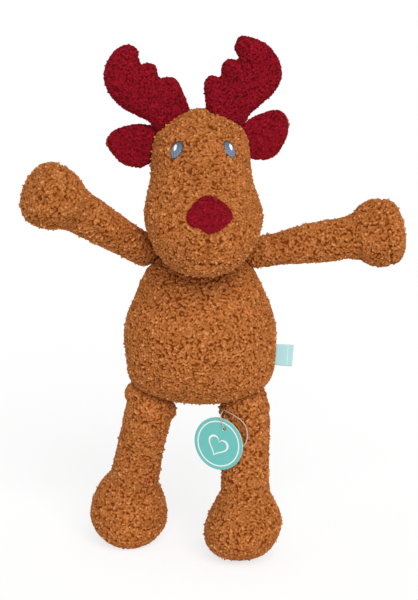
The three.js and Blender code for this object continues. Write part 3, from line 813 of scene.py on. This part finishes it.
def boucle(name, gap, low, high, light, fibre):
    """Polyester yarn knitted into loops, dull, with painted shade between the curls and painted
    light on their crowns
    """
    material, tree, shader = new_material(name)
    place = add(tree, "TexCoord").outputs["Object"]
    crown, tone = (
        add(tree, "Attribute", attribute_name=kept).outputs["Fac"] for kept in ("crown", "tone")
    )
    # Fibre ends are about 0.3 mm apart, drawn as coarse as they need to show, and patches a little
    # lighter or darker at random are about 24 mm across
    fibres = add(tree, "TexNoise", {"Vector": place, "Scale": 1 / (fibre * MM), "Detail": 3.0})
    blotches = add(tree, "TexNoise", {"Vector": place, "Scale": 1 / (24 * MM), "Detail": 2.0})
    # The ramp paints shade and light: its darkest stop goes in the curls' gaps, along seams and on
    # pressed pile, and its lightest is painted light on the crowns
    colour = add(
        tree, "ValToRGB", {"Fac": crown}, [(0.15, gap), (0.5, low), (0.78, high), (1.0, light)]
    )
    # Each curl has its own tone, its fibres speckle it, and whole patches are a little lighter or
    # darker at random
    for value, least, most, darker, lighter in (
        (tone, 0.0, 1.0, 0.9, 1.1), (fibres, 0.3, 0.7, 0.77, 1.19), (blotches, 0.3, 0.7, 0.95, 1.05),
    ):
        shade = add(tree, "MapRange", {
            "Value": value, "From Min": least, "From Max": most, "To Min": darker,
            "To Max": lighter,
        })
        colour = add(tree, "HueSaturation", {"Color": colour, "Value": shade})
    wire(shader, {
        "Base Color": colour, "Roughness": 0.92, "Specular IOR Level": 0.1,
        "Sheen Weight": 0.25, "Sheen Roughness": 0.4, "Sheen Tint": linear(light),
        "Normal": add(tree, "Bump", {"Height": fibres, "Strength": 0.5, "Distance": 0.25 * MM}),
    })
    return material


def satin_stitch(name, dark, light):
    """Embroidery floss laid side by side: each stitch is a low ridge with a soft shine, with
    painted shade in the grooves and painted highlight on the ridges
    """
    material, tree, shader = new_material(name)
    place = add(tree, "TexCoord").outputs["Object"]
    stitch = add(tree, "Attribute", attribute_name="stitch").outputs["Fac"]
    fibres = add(tree, "TexNoise", {"Vector": place, "Scale": 1 / (0.5 * MM), "Detail": 2.0})
    # The stitch number sets painted shade: low in the grooves between stitches and, on the eyes,
    # under the brow
    colour = add(tree, "ValToRGB", {"Fac": stitch}, [(0.0, dark), (1.0, light)])
    shade = add(tree, "MapRange", {
        "Value": fibres, "From Min": 0.3, "From Max": 0.7, "To Min": 0.85, "To Max": 1.15,
    })
    wire(shader, {
        "Base Color": add(tree, "HueSaturation", {"Color": colour, "Value": shade}),
        "Roughness": 0.42, "Sheen Weight": 0.15,
        "Normal": add(tree, "Bump", {"Height": fibres, "Strength": 0.25, "Distance": 0.1 * MM}),
    })
    return material


def plain(name, code, other, roughness, grain, depth, clear=0.0):
    """A surface of one colour whose grain has a size and a depth in millimetres"""
    material, tree, shader = new_material(name)
    place = add(tree, "TexCoord").outputs["Object"]
    noise = add(tree, "TexNoise", {"Vector": place, "Scale": 1 / (grain * MM), "Detail": 3.0})
    wire(shader, {
        "Base Color": add(tree, "ValToRGB", {"Fac": noise}, [(0.35, code), (0.65, other)]),
        "Roughness": roughness, "Transmission Weight": clear,
        "Normal": add(tree, "Bump", {"Height": noise, "Strength": 0.3, "Distance": depth * MM}),
    })
    return material


def woven_ribbon(name, dark, light, thread):
    """Woven satin: fine warp threads with a soft shine, crossed by a weft"""
    material, tree, shader = new_material(name)
    place = add(tree, "TexCoord").outputs["Object"]
    # A wave at a scale of 1 runs through 20 radians in a unit of length
    waves = {"Vector": place, "Scale": 2 * math.pi / (20 * thread * MM), "Distortion": 0.4}
    warp, weft = (
        add(tree, "TexWave", waves, bands_direction=way).outputs["Fac"] for way in ("Z", "X")
    )
    both = add(tree, "Math", {0: warp, 1: weft}, operation="ADD")
    half = add(tree, "Math", {0: both, 1: 0.5}, operation="MULTIPLY")
    wire(shader, {
        "Base Color": add(tree, "ValToRGB", {"Fac": half}, [(0.0, dark), (1.0, light)]),
        "Roughness": 0.45, "Sheen Weight": 0.2,
        "Normal": add(tree, "Bump", {"Height": half, "Strength": 0.3, "Distance": 0.08 * MM}),
    })
    return material


# Soft looped plush takes light into its gaps, so it reads deep and matt, the caramel one warm. The
# darkest colour given is painted shade for the gaps and the lightest is painted light on the
# crowns
CARAMEL = boucle("caramel_boucle", "#803c10", "#a96129", "#c0763f", "#d8945b", 1.0)
# The crimson one has shorter, tighter loops and finer fibres, and looks denser
CRIMSON = boucle("crimson_boucle", "#60070f", "#7c0b17", "#8f1021", "#a0192c", 0.8)
# Machine-embroidered rayon floss glints along each stitch, with painted shade in the grooves
# between stitches. Its edge stitches are dark brown floss together with painted shade of the pile
# round the eye
FLOSS = satin_stitch("grey_blue_floss", "#2c3540", "#7e93ab")
RIM_FLOSS_AND_SHADE = satin_stitch("dark_brown_floss_and_painted_shade", "#24130a", "#4c2e1a")
WHITE_FLOSS = satin_stitch("white_floss", "#eef1f4", "#ffffff")
# Carded polyester wadding is an off-white tangle with no shine, its fibres drawn very coarse
STUFFING = plain("polyester_fibre", "#e6e2d8", "#f6f4ee", 0.95, 1.5, 0.6)
# Coated card, flat printed in teal, has a faint shine, and its cut edge is bare and rougher
CARD = plain("teal_printed_card", "#66c2bb", "#72cdc5", 0.5, 0.6, 0.03)
CARD_EDGE = plain("cut_card_edge", "#dfeeea", "#f2f8f6", 0.8, 0.4, 0.05)
PRINT = plain("white_print", "#eef4f2", "#f8fbfa", 0.45, 0.6, 0.02)
# Drawn nylon is smooth and lets a third of the light through, so it takes on what is behind it,
# and its base colour is also painted the brown of the pile seen through it
NYLON = plain("clear_nylon", "#d9c3ad", "#eee0d2", 0.25, 0.8, 0.02, 0.35)
# Satin ribbon shines softly over threads 0.5 mm apart, far coarser than real ones so they show
RIBBON_WEAVE = woven_ribbon("pale_aqua_satin_ribbon", "#96cfd2", "#c6ecee", 0.5)


def dress(made, material, body, replaced=()):
    """Gives a finished piece its material, its body and what it stands for"""
    made.data.materials.clear()
    made.data.materials.append(material)
    if body:
        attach(made, body)
    if replaced:
        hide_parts(*replaced)


# Camera

back = Vector((0, -math.cos(VIEW_ELEVATION), math.sin(VIEW_ELEVATION)))
camera_data = bpy.data.cameras.new("camera")
camera_data.lens, camera_data.sensor_width = LENS, SENSOR
camera_data.clip_start, camera_data.clip_end = VIEW_NEAREST, VIEW_FARTHEST
camera = linked("camera", camera_data)
camera.location = in_metres() @ (VIEW_TARGET + back * VIEW_DISTANCE)
camera.rotation_euler = (-back).to_track_quat("-Z", "Y").to_euler()
bpy.context.scene.camera = camera

# The nylon loop, from the hip seam down behind the card, through its hole and back

TAG_FRAME = placed(HIP["right"] + TAG_FROM_HIP, turned("Z", -TAG_TURN), turned("X", 90))
loop_places = [*LOOP_START, *(TAG_FRAME @ Vector(p) for p in LOOP_AT_TAG), LOOP_END]
loop_line = moved(curve_through(loop_places, 5), in_metres())
loop_curve = bpy.data.curves.new("tag_loop_nylon", "CURVE")
loop_curve.dimensions = "3D"
straight_spline(loop_curve, loop_line)
loop_curve.bevel_depth = LOOP_DIAMETER / 2 * MM
loop_curve.bevel_resolution = 3
loop_curve.use_fill_caps = True
loop = linked("tag_loop_nylon", loop_curve)
dress(loop, NYLON, "tag", ["tag_loop"])

# Torso, with a round neck and sockets for the limbs

torso_rows = stations(
    TORSO, TORSO_HEIGHT, TORSO_WIDTH, TORSO_DEPTH, TORSO_BOTTOM, TORSO_DEPTH / 2
)
torso = cushion("torso_boucle", torso_rows, "body")
sockets = [(at, ARM_RADIUS + SEAM_GAP) for at in SHOULDER.values()]
sockets += [(at, LEG_RADIUS + SEAM_GAP) for at in HIP.values()]
carved(torso, *(ball("socket", radius, at) for at, radius in sockets))
joined(torso, ball("neck", NECK_RADIUS, NECK))
even(torso, BODY_GRAIN)
torso_skin = skin_of(torso)
finer(torso)
crease(torso, [(0, -TORSO_DEPTH / 2, z) for z in range(112, 145, 3)], SEAT_SEAM)
for side in SIDES.values():
    crease(torso, side_seam(torso_rows[1:-2], side), BODY_SEAM)
raise_pile(
    torso, CARAMEL_CURL, CARAMEL_PILE, SEED["torso"], clear_of(places(torso), sockets), 0.6
)
dress(torso, CARAMEL, "torso", ["torso_cover"])

# Head

head_rows = stations(
    HEAD, HEAD_HEIGHT, HEAD_WIDTH, HEAD_DEPTH, -CHIN_DROP, HEAD_DEPTH, -NECK_BACK
)
head = nudged(cushion("head_boucle", head_rows, "body", HEAD_FRAME), HEAD_NUDGES)
carved(head, ball("socket", NECK_RADIUS + SEAM_GAP, matrix=HEAD_FRAME))
even(head, BODY_GRAIN)
head_skin = skin_of(head)
finer(head)
head_co = places(head)
head_keep = clear_of(head_co, [(NECK, NECK_RADIUS + SEAM_GAP)])


def on_face(x, above):
    """A place on the head's front and the direction out of it, in the row frame"""
    matrix = in_metres(HEAD_FRAME)
    start = matrix @ Vector((x, -HEAD_DEPTH * 2, above - CHIN_DROP))
    ahead = (matrix.to_3x3() @ Vector((0, 1, 0))).normalized()
    at, normal, _, _ = head_skin.ray_cast(start, ahead)
    return at, normal


def face_frame(x, above, lean=0.0):
    """A frame on the face: X across, Y up the cloth and Z out of it, in millimetres"""
    at, _ = on_face(x, above)
    spread = [on_face(x + dx, above + dy)[1] for dx in (-3, 0, 3) for dy in (-3, 0, 3)]
    outward = sum(spread, Vector()).normalized()
    lean = math.radians(lean)
    up = HEAD_FRAME.to_3x3() @ Vector((math.sin(lean), 0, math.cos(lean)))
    right = up.cross(outward).normalized()
    matrix = Matrix((right, outward.cross(right), outward)).transposed().to_4x4()
    matrix.translation = at
    return matrix @ SCALE


def face_patch(name, frame_on, rim, height, rings):
    """A closed patch on the face over a star-shaped rim, its height given by share and place"""
    n = len(rim)
    flat = np.array([rim * (k / rings) for k in range(1, rings + 1)]).reshape(-1, 2)
    flat = np.vstack([[(0, 0)], flat])
    share = np.concatenate([[0], np.repeat(np.arange(1, rings + 1) / rings, n)])
    out = (frame_on.to_3x3() @ Vector((0, 0, 1))).normalized()
    top = []
    for (x, y), h in zip(flat, height(share, flat)):
        at, _, _, _ = head_skin.ray_cast(frame_on @ Vector((x, y, 30)), -out)
        if at is None:
            at = frame_on @ Vector((x, y, 0))
        top.append(at + out * (h * MM))
    under = [p - out * PATCH_DEPTH * MM for p in (top[0], *top[-n:])]
    faces = [(0, 1 + j, 1 + (j + 1) % n) for j in range(n)]
    edge, low = 1 + (rings - 1) * n, len(top) + 1
    for j in range(n):
        k = (j + 1) % n
        for a in range(0, (rings - 1) * n, n):
            faces.append((1 + a + j, 1 + a + n + j, 1 + a + n + k, 1 + a + k))
        faces.append((edge + j, low + j, low + k, edge + k))
        faces.append((len(top), low + k, low + j))
    mesh = bpy.data.meshes.new(name)
    mesh.from_pydata([tuple(p) for p in (*top, *under)], [], faces)
    mesh.shade_smooth()
    return linked(name, mesh), np.vstack([flat, [(0, 0)], flat[-n:]])


def press_under(frame_on, rim_at, margin):
    """Lowers the head's pile inside a patch whose rim radius is given by direction"""
    local = moved(head_co, frame_on.inverted())
    radius = np.linalg.norm(local[:, :2], axis=1)
    limit = rim_at(np.arctan2(local[:, 1], local[:, 0]))
    inside = (np.abs(local[:, 2]) < 16) & (radius < limit + margin)
    head_keep[inside] *= ramp(radius[inside] - limit[inside], -margin, margin)


# Nose: a plump pad of crimson pile

nose_frame = face_frame(NOSE_ASIDE, NOSE_RISE * HEAD_HEIGHT)
nose_edge = outline(NOSE, NOSE_WIDTH / 2, NOSE_HEIGHT / 2, 10)
nose, _ = face_patch(
    "nose_boucle", nose_frame, nose_edge,
    lambda share, flat: NOSE_PLUMP * np.sqrt(1 - share**2.6) - NOSE_SUNK, 26,
)
even(nose, NOSE_GRAIN, 3)
raise_pile(nose, CRIMSON_CURL, CRIMSON_PILE, SEED["nose"])
dress(nose, CRIMSON, "head", ["nose"])
nose_angle = np.arctan2(nose_edge[:, 1], nose_edge[:, 0])
order = np.argsort(nose_angle)
nose_radius = np.linalg.norm(nose_edge, axis=1)
press_under(
    nose_frame,
    lambda a: np.interp(a, nose_angle[order], nose_radius[order], period=2 * np.pi),
    0.8,
)

# Eyes: satin stitch with a darker rim, dark floss partly painted as the pile's shade, and a white
# glint


def stitches_at(flat):
    """How high the floss stands: each stitch lies across the eye, slanting a little"""
    row = (flat[:, 1] + 0.25 * flat[:, 0]) / STITCH
    loose = 0.25 * np.sin(2.4 * flat[:, 0] + 1.9 * np.floor(row))
    return np.clip(np.abs(np.sin(np.pi * row)) ** 0.8 + loose, 0, 1)


def rim_height(share, flat):
    """A rolled edge of stitches"""
    return 0.3 + 0.5 * np.sqrt(np.clip(1 - ((share - 0.84) / 0.2) ** 2, 0, 1))


def eye_height(share, flat):
    return 0.55 + 0.5 * np.sqrt(1 - share**2) + 0.12 * stitches_at(flat)


def glint_height(share, flat):
    return 1.05 + 0.35 * np.sqrt(1 - share**2)


for name, side in SIDES.items():
    eye_frame = face_frame(side * EYE_SPACING / 2, EYE_RISE * HEAD_HEIGHT, -side * EYE_LEAN)
    # The dark rim is partly edge stitches and partly painted shade of the pile over the eye. The
    # stitching sits a little low in it, so more of the rim shows at the top
    rim, flat = face_patch(
        f"eye_{name}_rim", eye_frame, oval(EYE_WIDTH + 0.9, EYE_HEIGHT, 120), rim_height, 28
    )
    remember(rim, "stitch", 0.5 + 0.5 * np.sin(60 * np.arctan2(flat[:, 1], flat[:, 0])))
    dress(rim, RIM_FLOSS_AND_SHADE, "head")
    eye, flat = face_patch(
        f"eye_{name}_stitching", eye_frame @ placed((0, -0.35, 0)),
        oval(EYE_WIDTH - 0.2, EYE_HEIGHT - 1.3, 120), eye_height, 26,
    )
    # The upper stitches lie in the shade of the brow
    upper = ramp(flat[:, 1] / EYE_HEIGHT, -0.15, 0.5)
    remember(eye, "stitch", stitches_at(flat) * (1 - 0.6 * upper))
    dress(eye, FLOSS, "head", [f"eye_{name}"])
    glint_place = placed(
        (side * GLINT_FROM_MIDDLE, GLINT_UP, 0), turned("Z", -side * EYE_LEAN * 0.8)
    )
    glint, flat = face_patch(
        f"glint_{name}_stitching", eye_frame @ glint_place,
        oval(GLINT_WIDTH, GLINT_HEIGHT, 48), glint_height, 8,
    )
    remember(glint, "stitch", np.abs(np.sin(np.pi * flat[:, 1] / 0.5)))
    dress(glint, WHITE_FLOSS, "head", [f"glint_{name}"])
    wide, high = (EYE_WIDTH - 0.5) / 2, (EYE_HEIGHT - 0.3) / 2
    press_under(
        eye_frame,
        lambda a: wide * high / np.hypot(high * np.cos(a), wide * np.sin(a)),
        0.4,
    )

# The seam from the nose to the chin, the mouth's fold, and the seams down both sides


def face_line(places_on):
    matrix = in_metres(HEAD_FRAME).inverted()
    return [tuple(matrix @ on_face(x, above)[0]) for x, above in places_on]


muzzle_seam = face_line(MUZZLE)
for path, cut in (
    (muzzle_seam, MUZZLE_SEAM), (muzzle_seam[-3:], LIP_SEAM), (face_line(MOUTH), MOUTH_FOLD),
    *((side_seam(head_rows[3:-2], side), HEAD_SEAM) for side in SIDES.values()),
):
    crease(head, path, cut, HEAD_FRAME)
raise_pile(head, CARAMEL_CURL, CARAMEL_PILE, SEED["head"], head_keep, 0.5)
dress(head, CARAMEL, "head", ["head_cover"])

# Antlers and ears: pads sewn to the crown and the sides of the head


def sewn_pad(name, edge, half, reach, pitch, foot, side, behind, frame_on):
    """A pad whose root lies at the origin of its frame, mirrored for the left one"""
    points, faces = pad(edge, half, reach, pitch)
    points = (points - (foot, 0, 0)) * (side, 1, 1) + (0, behind, 0)
    return facing_out(piece(name, points, faces, frame_on))


def trimmed(made):
    """Ends a pad at the head's cloth"""
    return carved(made, piece("skin", *stuffed(head_rows), HEAD_FRAME))


# Each limb's and antler's parent, name and two points where its cloth would bend; only the names
# are used, to find its stuffing
bends = {}
for name, side in SIDES.items():
    frame_on = HEAD_FRAME @ placed(
        (side * ANTLER_ACROSS[name] * HEAD_WIDTH / 2, -NECK_BACK,
         ANTLER_RISE[name] * HEAD_HEIGHT - CHIN_DROP),
        turned("Z", ANTLER_TURN[name]), turned("Y", side * ANTLER_LEAN[name]),
    )
    edge = outset(outline(ANTLER[name], ANTLER_WIDTH, ANTLER_HEIGHT, 4), ANTLER_OUTSET[name])
    antler = sewn_pad(
        f"antler_{name}_boucle", edge, ANTLER_THICKNESS / 2, 8, 1.3,
        ANTLER_FOOT * ANTLER_WIDTH, side, 0, frame_on,
    )
    swelled(antler, "antler")
    even(trimmed(antler), TRIM_GRAIN, 3)
    finer(antler)
    # The seam round the edge, where the two faces are sewn together
    co = places(antler)
    seam = np.exp(-((moved(co, in_metres(frame_on).inverted())[:, 1] / 0.9) ** 2))
    move_to(antler, co - normals(antler) * (0.5 * seam * MM)[:, None])
    raise_pile(antler, CRIMSON_CURL, CRIMSON_PILE * 1.4, SEED["antler"] + side, lumps=0.3)
    dress(antler, CRIMSON, None, [f"antler_{name}_cover"])
    root, beyond = (in_metres(frame_on) @ Vector((0, 0, z)) for z in ANTLER_BEND)
    bends[f"antler_{name}"] = ("head", f"antler_{name}", root, beyond)
    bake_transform(antler)

    frame_on = HEAD_FRAME @ placed(
        (side * EAR_FROM_AXIS, EAR_BEHIND_NECK - NECK_BACK,
         EAR_RISE[name] * HEAD_HEIGHT - CHIN_DROP),
        turned("Y", -side * EAR_LIFT[name]),
    )
    edge = outset(outline(EAR[name], EAR_LENGTH, EAR_WIDTH, 5), EAR_OUTSET[name])
    root, beyond = (in_metres(frame_on) @ Vector((side * x, 0, 0)) for x in EAR_BEND)
    for part, behind, shift, look, slot, curl, pile in (
        ("lining", -1, (0, 0), CRIMSON, "crimson_boucle", CRIMSON_CURL, CRIMSON_PILE),
        ("back", 1, EAR_BACK_SHIFT, CARAMEL, "caramel_boucle", CARAMEL_CURL, CARAMEL_PILE * 0.7),
    ):
        ear = sewn_pad(
            f"ear_{name}_{part}_boucle", edge + shift, EAR_PANEL / 2, 2.6, 1.0,
            EAR_LENGTH / 8, side, behind * (EAR_PANEL + SEAM_GAP) / 2, frame_on,
        )
        even(trimmed(ear), EAR_GRAIN, 2)
        finer(ear)
        raise_pile(ear, curl, pile * 0.8, SEED["ear"] + side + behind)
        dress(ear, look, None, [f"ear_{name}_{part}"])
        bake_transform(ear)

# Arms and legs


def finish_limb(made, name, root, towards, bend, seed, frame_on, seams):
    """Raises a limb's pile outside its socket and sews its root to the torso"""
    even(made, BODY_GRAIN)
    finer(made)
    for path, cut in seams:
        crease(made, path, cut, frame_on)
    keep = 0.1 + 0.9 * ramp(outside(places(made), torso_skin), -0.3, 2.2)
    raise_pile(made, CARAMEL_CURL, CARAMEL_PILE, seed, keep, 0.5)
    # Nothing reaches below the ground
    co = places(made)
    co[:, 2] = np.maximum(co[:, 2], 0)
    move_to(made, co)
    dress(made, CARAMEL, None, [f"{name}_cover"])
    start, end = (in_metres() @ (root + towards * along) for along in bend)
    bends[name] = ("torso", name, start, end)
    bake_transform(made)


def leg_rows(length):
    """The sections of a leg and its foot, from the sole up to the ball at its root"""
    rows = stations(FOOT, FOOT_HEIGHT, FOOT_WIDTH, FOOT_DEPTH, -length, FOOT_DEPTH / 2)
    r = LEG_RADIUS - LEG_EASE
    rows += [((FOOT_HEIGHT - length) / 2, r, r, 0), (-r, r, r, 0)]
    return rows + [(-r / 8, r * ROOT_SHARE, r * ROOT_SHARE, 0), (r / 2, 0, 0, 0)]


for name, side in SIDES.items():
    arm_frame = placed((0, 0, ARM_SETTLES[name])) @ placed(
        SHOULDER[name],
        turned("Z", -side * ARM_FORWARD[name]),
        turned("Y", side * (90 - ARM_RAISED[name])),
        turned("Z", ARM_ROLL[name]),
    )
    rows = stations(ARM, ARM_LENGTH, PAW_WIDTH, PAW_DEPTH)
    arm = nudged(cushion(f"arm_{name}_boucle", rows, "arm", arm_frame), ARM_NUDGES[name])
    joined(arm, ball("root", ARM_RADIUS - ROOT_EASE, matrix=arm_frame))
    seams = [(side_seam(rows[3:], s), LIMB_SEAM) for s in (-1, 1)]
    seams += [(round_fold(rows[6], 1), WRIST_FOLD), (round_fold(rows[9], 2), PAW_FOLD)]
    towards = (arm_frame.to_3x3() @ Vector((0, 0, 1))).normalized()
    finish_limb(
        arm, f"arm_{name}", SHOULDER[name], towards, ARM_BEND, SEED["arm"] + side, arm_frame,
        seams,
    )

    # The leg is as long as it takes for the foot to stand a sole's cut below the ground
    reach = (FOOT_PLACE[name] - HIP[name]).length
    down = (FOOT_PLACE[name] - HIP[name]).normalized()
    lean = Vector((0, 0, -1)).rotation_difference(down).to_matrix().to_4x4()
    trial, _ = stuffed(leg_rows(reach))
    excess = -moved(trial, lean)[:, 2].min() - HIP[name].z - SOLE_CUT
    leg_frame = placed(HIP[name]) @ lean
    rows = leg_rows(reach - excess * reach / HIP[name].z)
    leg = cushion(f"leg_{name}_boucle", rows, "leg", leg_frame)
    co = places(leg)
    above = np.minimum(co[:, 2] / MM, FOOT_HEIGHT) - FOOT_HEIGHT / 2
    above *= 1 - ramp(co[:, 2] / MM, FOOT_HEIGHT, HIP[name].z)
    co[:, 0] += FOOT_SKEW[name] * above * MM
    move_to(leg, co)
    nudged(leg, LEG_NUDGES[name])
    joined(leg, ball("root", LEG_RADIUS - ROOT_EASE, matrix=leg_frame))
    for across, above, radius in GATHERS[name]:
        joined(leg, ball("gather", radius, HIP[name] + Vector((across, 0, above))))
    seams = [(side_seam(rows[2:-1], s), LIMB_SEAM) for s in (-1, 1)]
    seams.append((round_fold(rows[8], -1), WRIST_FOLD))
    finish_limb(
        leg, f"leg_{name}", HIP[name], down, LEG_BEND, SEED["leg"] + side, leg_frame, seams
    )

# Stuffing inside each cover, tufted a little inward

for seed, node in enumerate(("torso", "head", *bends), SEED["stuffing"]):
    made = linked(f"{node}_stuffing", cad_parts[f"{node}_filling"].data.copy())
    even(made, STUFFING_GRAIN, 3)
    co = places(made)
    tufts = drift(co / MM / TUFT_SPACING, seed)[:, 0] - 1
    move_to(made, co + normals(made) * (TUFTS * tufts * MM)[:, None])
    made.data.shade_smooth()
    body = None if node in bends else node
    dress(made, STUFFING, body, [f"{node}_filling"])
    if node in bends:
        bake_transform(made)

# Hang tag: a round card with a printed ring and a plain heart


def tag_plate(name, outlines, thickness, lift):
    """A thin plate of the tag bounded by closed outlines, the second cut out of the first"""
    curve = bpy.data.curves.new(name, "CURVE")
    curve.dimensions, curve.fill_mode = "2D", "BOTH"
    curve.extrude = thickness / 2 * MM
    for edge in outlines:
        flat = np.column_stack([np.asarray(edge) * MM, np.zeros(len(edge))])
        straight_spline(curve, flat).use_cyclic_u = True
    source = linked(name, curve)
    mesh = as_mesh(source)
    bpy.data.objects.remove(source)
    mesh.transform(
        in_metres(TAG_FRAME) @ Matrix.Scale(1 / MM, 4) @ Matrix.Translation((0, 0, lift * MM))
    )
    return facing_out(modify(linked(name, mesh), "WELD", merge_threshold=0.002 * MM))


def heart(size):
    t = np.linspace(0, 2 * np.pi, 64, endpoint=False)
    x = 16 * np.sin(t) ** 3
    y = 13 * np.cos(t) - 5 * np.cos(2 * t) - 2 * np.cos(3 * t) - np.cos(4 * t)
    return np.stack([x, y + 2], 1) * size / 32


across, up = math.cos(math.radians(TAG_ROLL)), math.sin(math.radians(TAG_ROLL))
hole_at = TAG_HOLE_OUT * np.array([up, across])
tag = tag_plate(
    "hang_tag_card",
    [oval(2 * TAG_RADIUS, 2 * TAG_RADIUS, 96), oval(2 * TAG_HOLE, 2 * TAG_HOLE, 32) + hole_at],
    TAG_THICKNESS, 0,
)
dress(tag, CARD, "tag", ["hang_tag"])
tag.data.materials.append(CARD_EDGE)
out = (TAG_FRAME.to_3x3() @ Vector((0, 0, 1))).normalized()
for face in tag.data.polygons:
    face.material_index = int(abs(face.normal.dot(out)) < 0.5)
print_lift = TAG_THICKNESS / 2 + PRINT_THICKNESS / 2 + 0.01
rolled = np.array([[across, -up], [up, across]])
prints = []
for name, outlines in (
    ("tag_printed_ring", [oval(2 * r * TAG_RADIUS, 2 * r * TAG_RADIUS, 96) for r in TAG_RING]),
    ("tag_printed_heart", [heart(size) @ rolled - hole_at * 0.2 for size in TAG_HEART]),
):
    prints.append(tag_plate(name, outlines, PRINT_THICKNESS, print_lift))
    dress(prints[-1], PRINT, "tag")

# Side label: a ribbon folded in half and caught in the side seam, with a running stitch of
# white along its fold on both faces


def bowed(y, u, along):
    """How far to one side a face of the ribbon lies at a height and a distance from the seam"""
    return y + 0.5 * math.sin(1.2 * u / LABEL_HEIGHT + 0.4) * (along / LABEL_LENGTH) ** 2


label_frame = placed(
    (TORSO_WIDTH / 2 * LABEL_ROOT + LABEL_OFF, 0, TORSO_BOTTOM + LABEL_ABOVE),
    turned("Y", LABEL_DROOP),
)
apart = (RIBBON_FOLD + RIBBON) / 2
straight = LABEL_LENGTH - RIBBON_FOLD / 2 - RIBBON
bend = [
    (straight + apart * math.cos(a), apart * math.sin(a))
    for a in np.linspace(-math.pi / 2, math.pi / 2, 9)
]
run = np.linspace(0, straight, 16)[:-1]
ribbon_line = [(x, -apart) for x in run] + bend + [(x, apart) for x in run[::-1]]
ups = np.linspace(-LABEL_HEIGHT / 2, LABEL_HEIGHT / 2, 24)
n = len(ups)
label = piece(
    "side_label_ribbon",
    [(x, bowed(y, u, x), u) for x, y in ribbon_line for u in ups],
    [
        (i * n + j, (i + 1) * n + j, (i + 1) * n + j + 1, i * n + j + 1)
        for i in range(len(ribbon_line) - 1) for j in range(n - 1)
    ],
    label_frame,
)
modify(label, "SOLIDIFY", thickness=RIBBON * MM * 0.9, offset=0)
label.data.shade_smooth()
stitches = []
for y in (-apart - RIBBON / 2, apart + RIBBON / 2):
    for u in np.arange(-LABEL_HEIGHT / 2 + 1, LABEL_HEIGHT / 2 - 0.6, LABEL_STITCH_PITCH):
        made = ball("stitch", 1)
        at = placed((LABEL_STITCH, bowed(y, u, LABEL_STITCH), u))
        shape = Matrix.Diagonal((*LABEL_STITCH_SHAPE, 1))
        made.data.transform(in_metres(label_frame) @ at @ shape @ in_metres().inverted())
        stitches.append(made)
stitching = joined(*stitches)
stitching.name = "side_label_stitching"
remember(stitching, "stitch", np.ones(len(stitching.data.vertices)))
dress(label, RIBBON_WEAVE, None, ["side_label"])
dress(stitching, WHITE_FLOSS, None)
for made in (label, stitching):
    root, beyond = (in_metres(label_frame) @ Vector((x, 0, 0)) for x in LABEL_BEND)
    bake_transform(made)

# Floor: to the camera it is white paper that keeps a third of the shadow

floor_mesh = bpy.data.meshes.new("floor")
corners = [(x * FLOOR_HALF, y * FLOOR_HALF, 0) for x, y in ((-1, -1), (1, -1), (1, 1), (-1, 1))]
floor_mesh.from_pydata(corners, [], [(0, 1, 2, 3)])
floor = linked("floor", floor_mesh)
floor_material, tree, shader = new_material("white_paper_sweep")
wire(shader, {"Base Color": linear("#fbfbfb"), "Roughness": 0.9})
seen = add(tree, "LightPath").outputs["Is Camera Ray"]
share = add(tree, "Math", {0: seen, 1: FLOOR_WHITE_SHARE}, operation="MULTIPLY")
white = add(tree, "Emission", {"Color": (1, 1, 1, 1), "Strength": FLOOR_WHITE})
both = add(tree, "MixShader", {"Fac": share, 1: shader, 2: white})
wire(tree.nodes["Material Output"], {"Surface": both})
floor_mesh.materials.append(floor_material)

# World: white where it is seen, directly or in a gloss, and a plain light on the deer

world = bpy.data.worlds.new("studio")
bpy.context.scene.world = world
world.use_nodes = True
tree = world.node_tree
path = add(tree, "LightPath")
seen = path.outputs["Is Camera Ray"]
for ray in ("Is Glossy Ray", "Is Transmission Ray"):
    seen = add(tree, "Math", {0: seen, 1: path.outputs[ray]}, operation="MAXIMUM")
strength = add(tree, "MapRange", {"Value": seen, "To Min": WORLD_LIGHT, "To Max": 1.0})
wire(tree.nodes["Background"], {"Color": (1, 1, 1, 1), "Strength": strength})

# One broad soft lamp, far away

key = bpy.data.lights.new("key", "SUN")
key.energy, key.angle = KEY_STRENGTH, math.radians(KEY_SPREAD)
linked("key", key).rotation_euler = Vector(KEY_TOWARDS).to_track_quat("-Z", "Y").to_euler()
bpy.context.scene.view_settings.view_transform = "Standard"
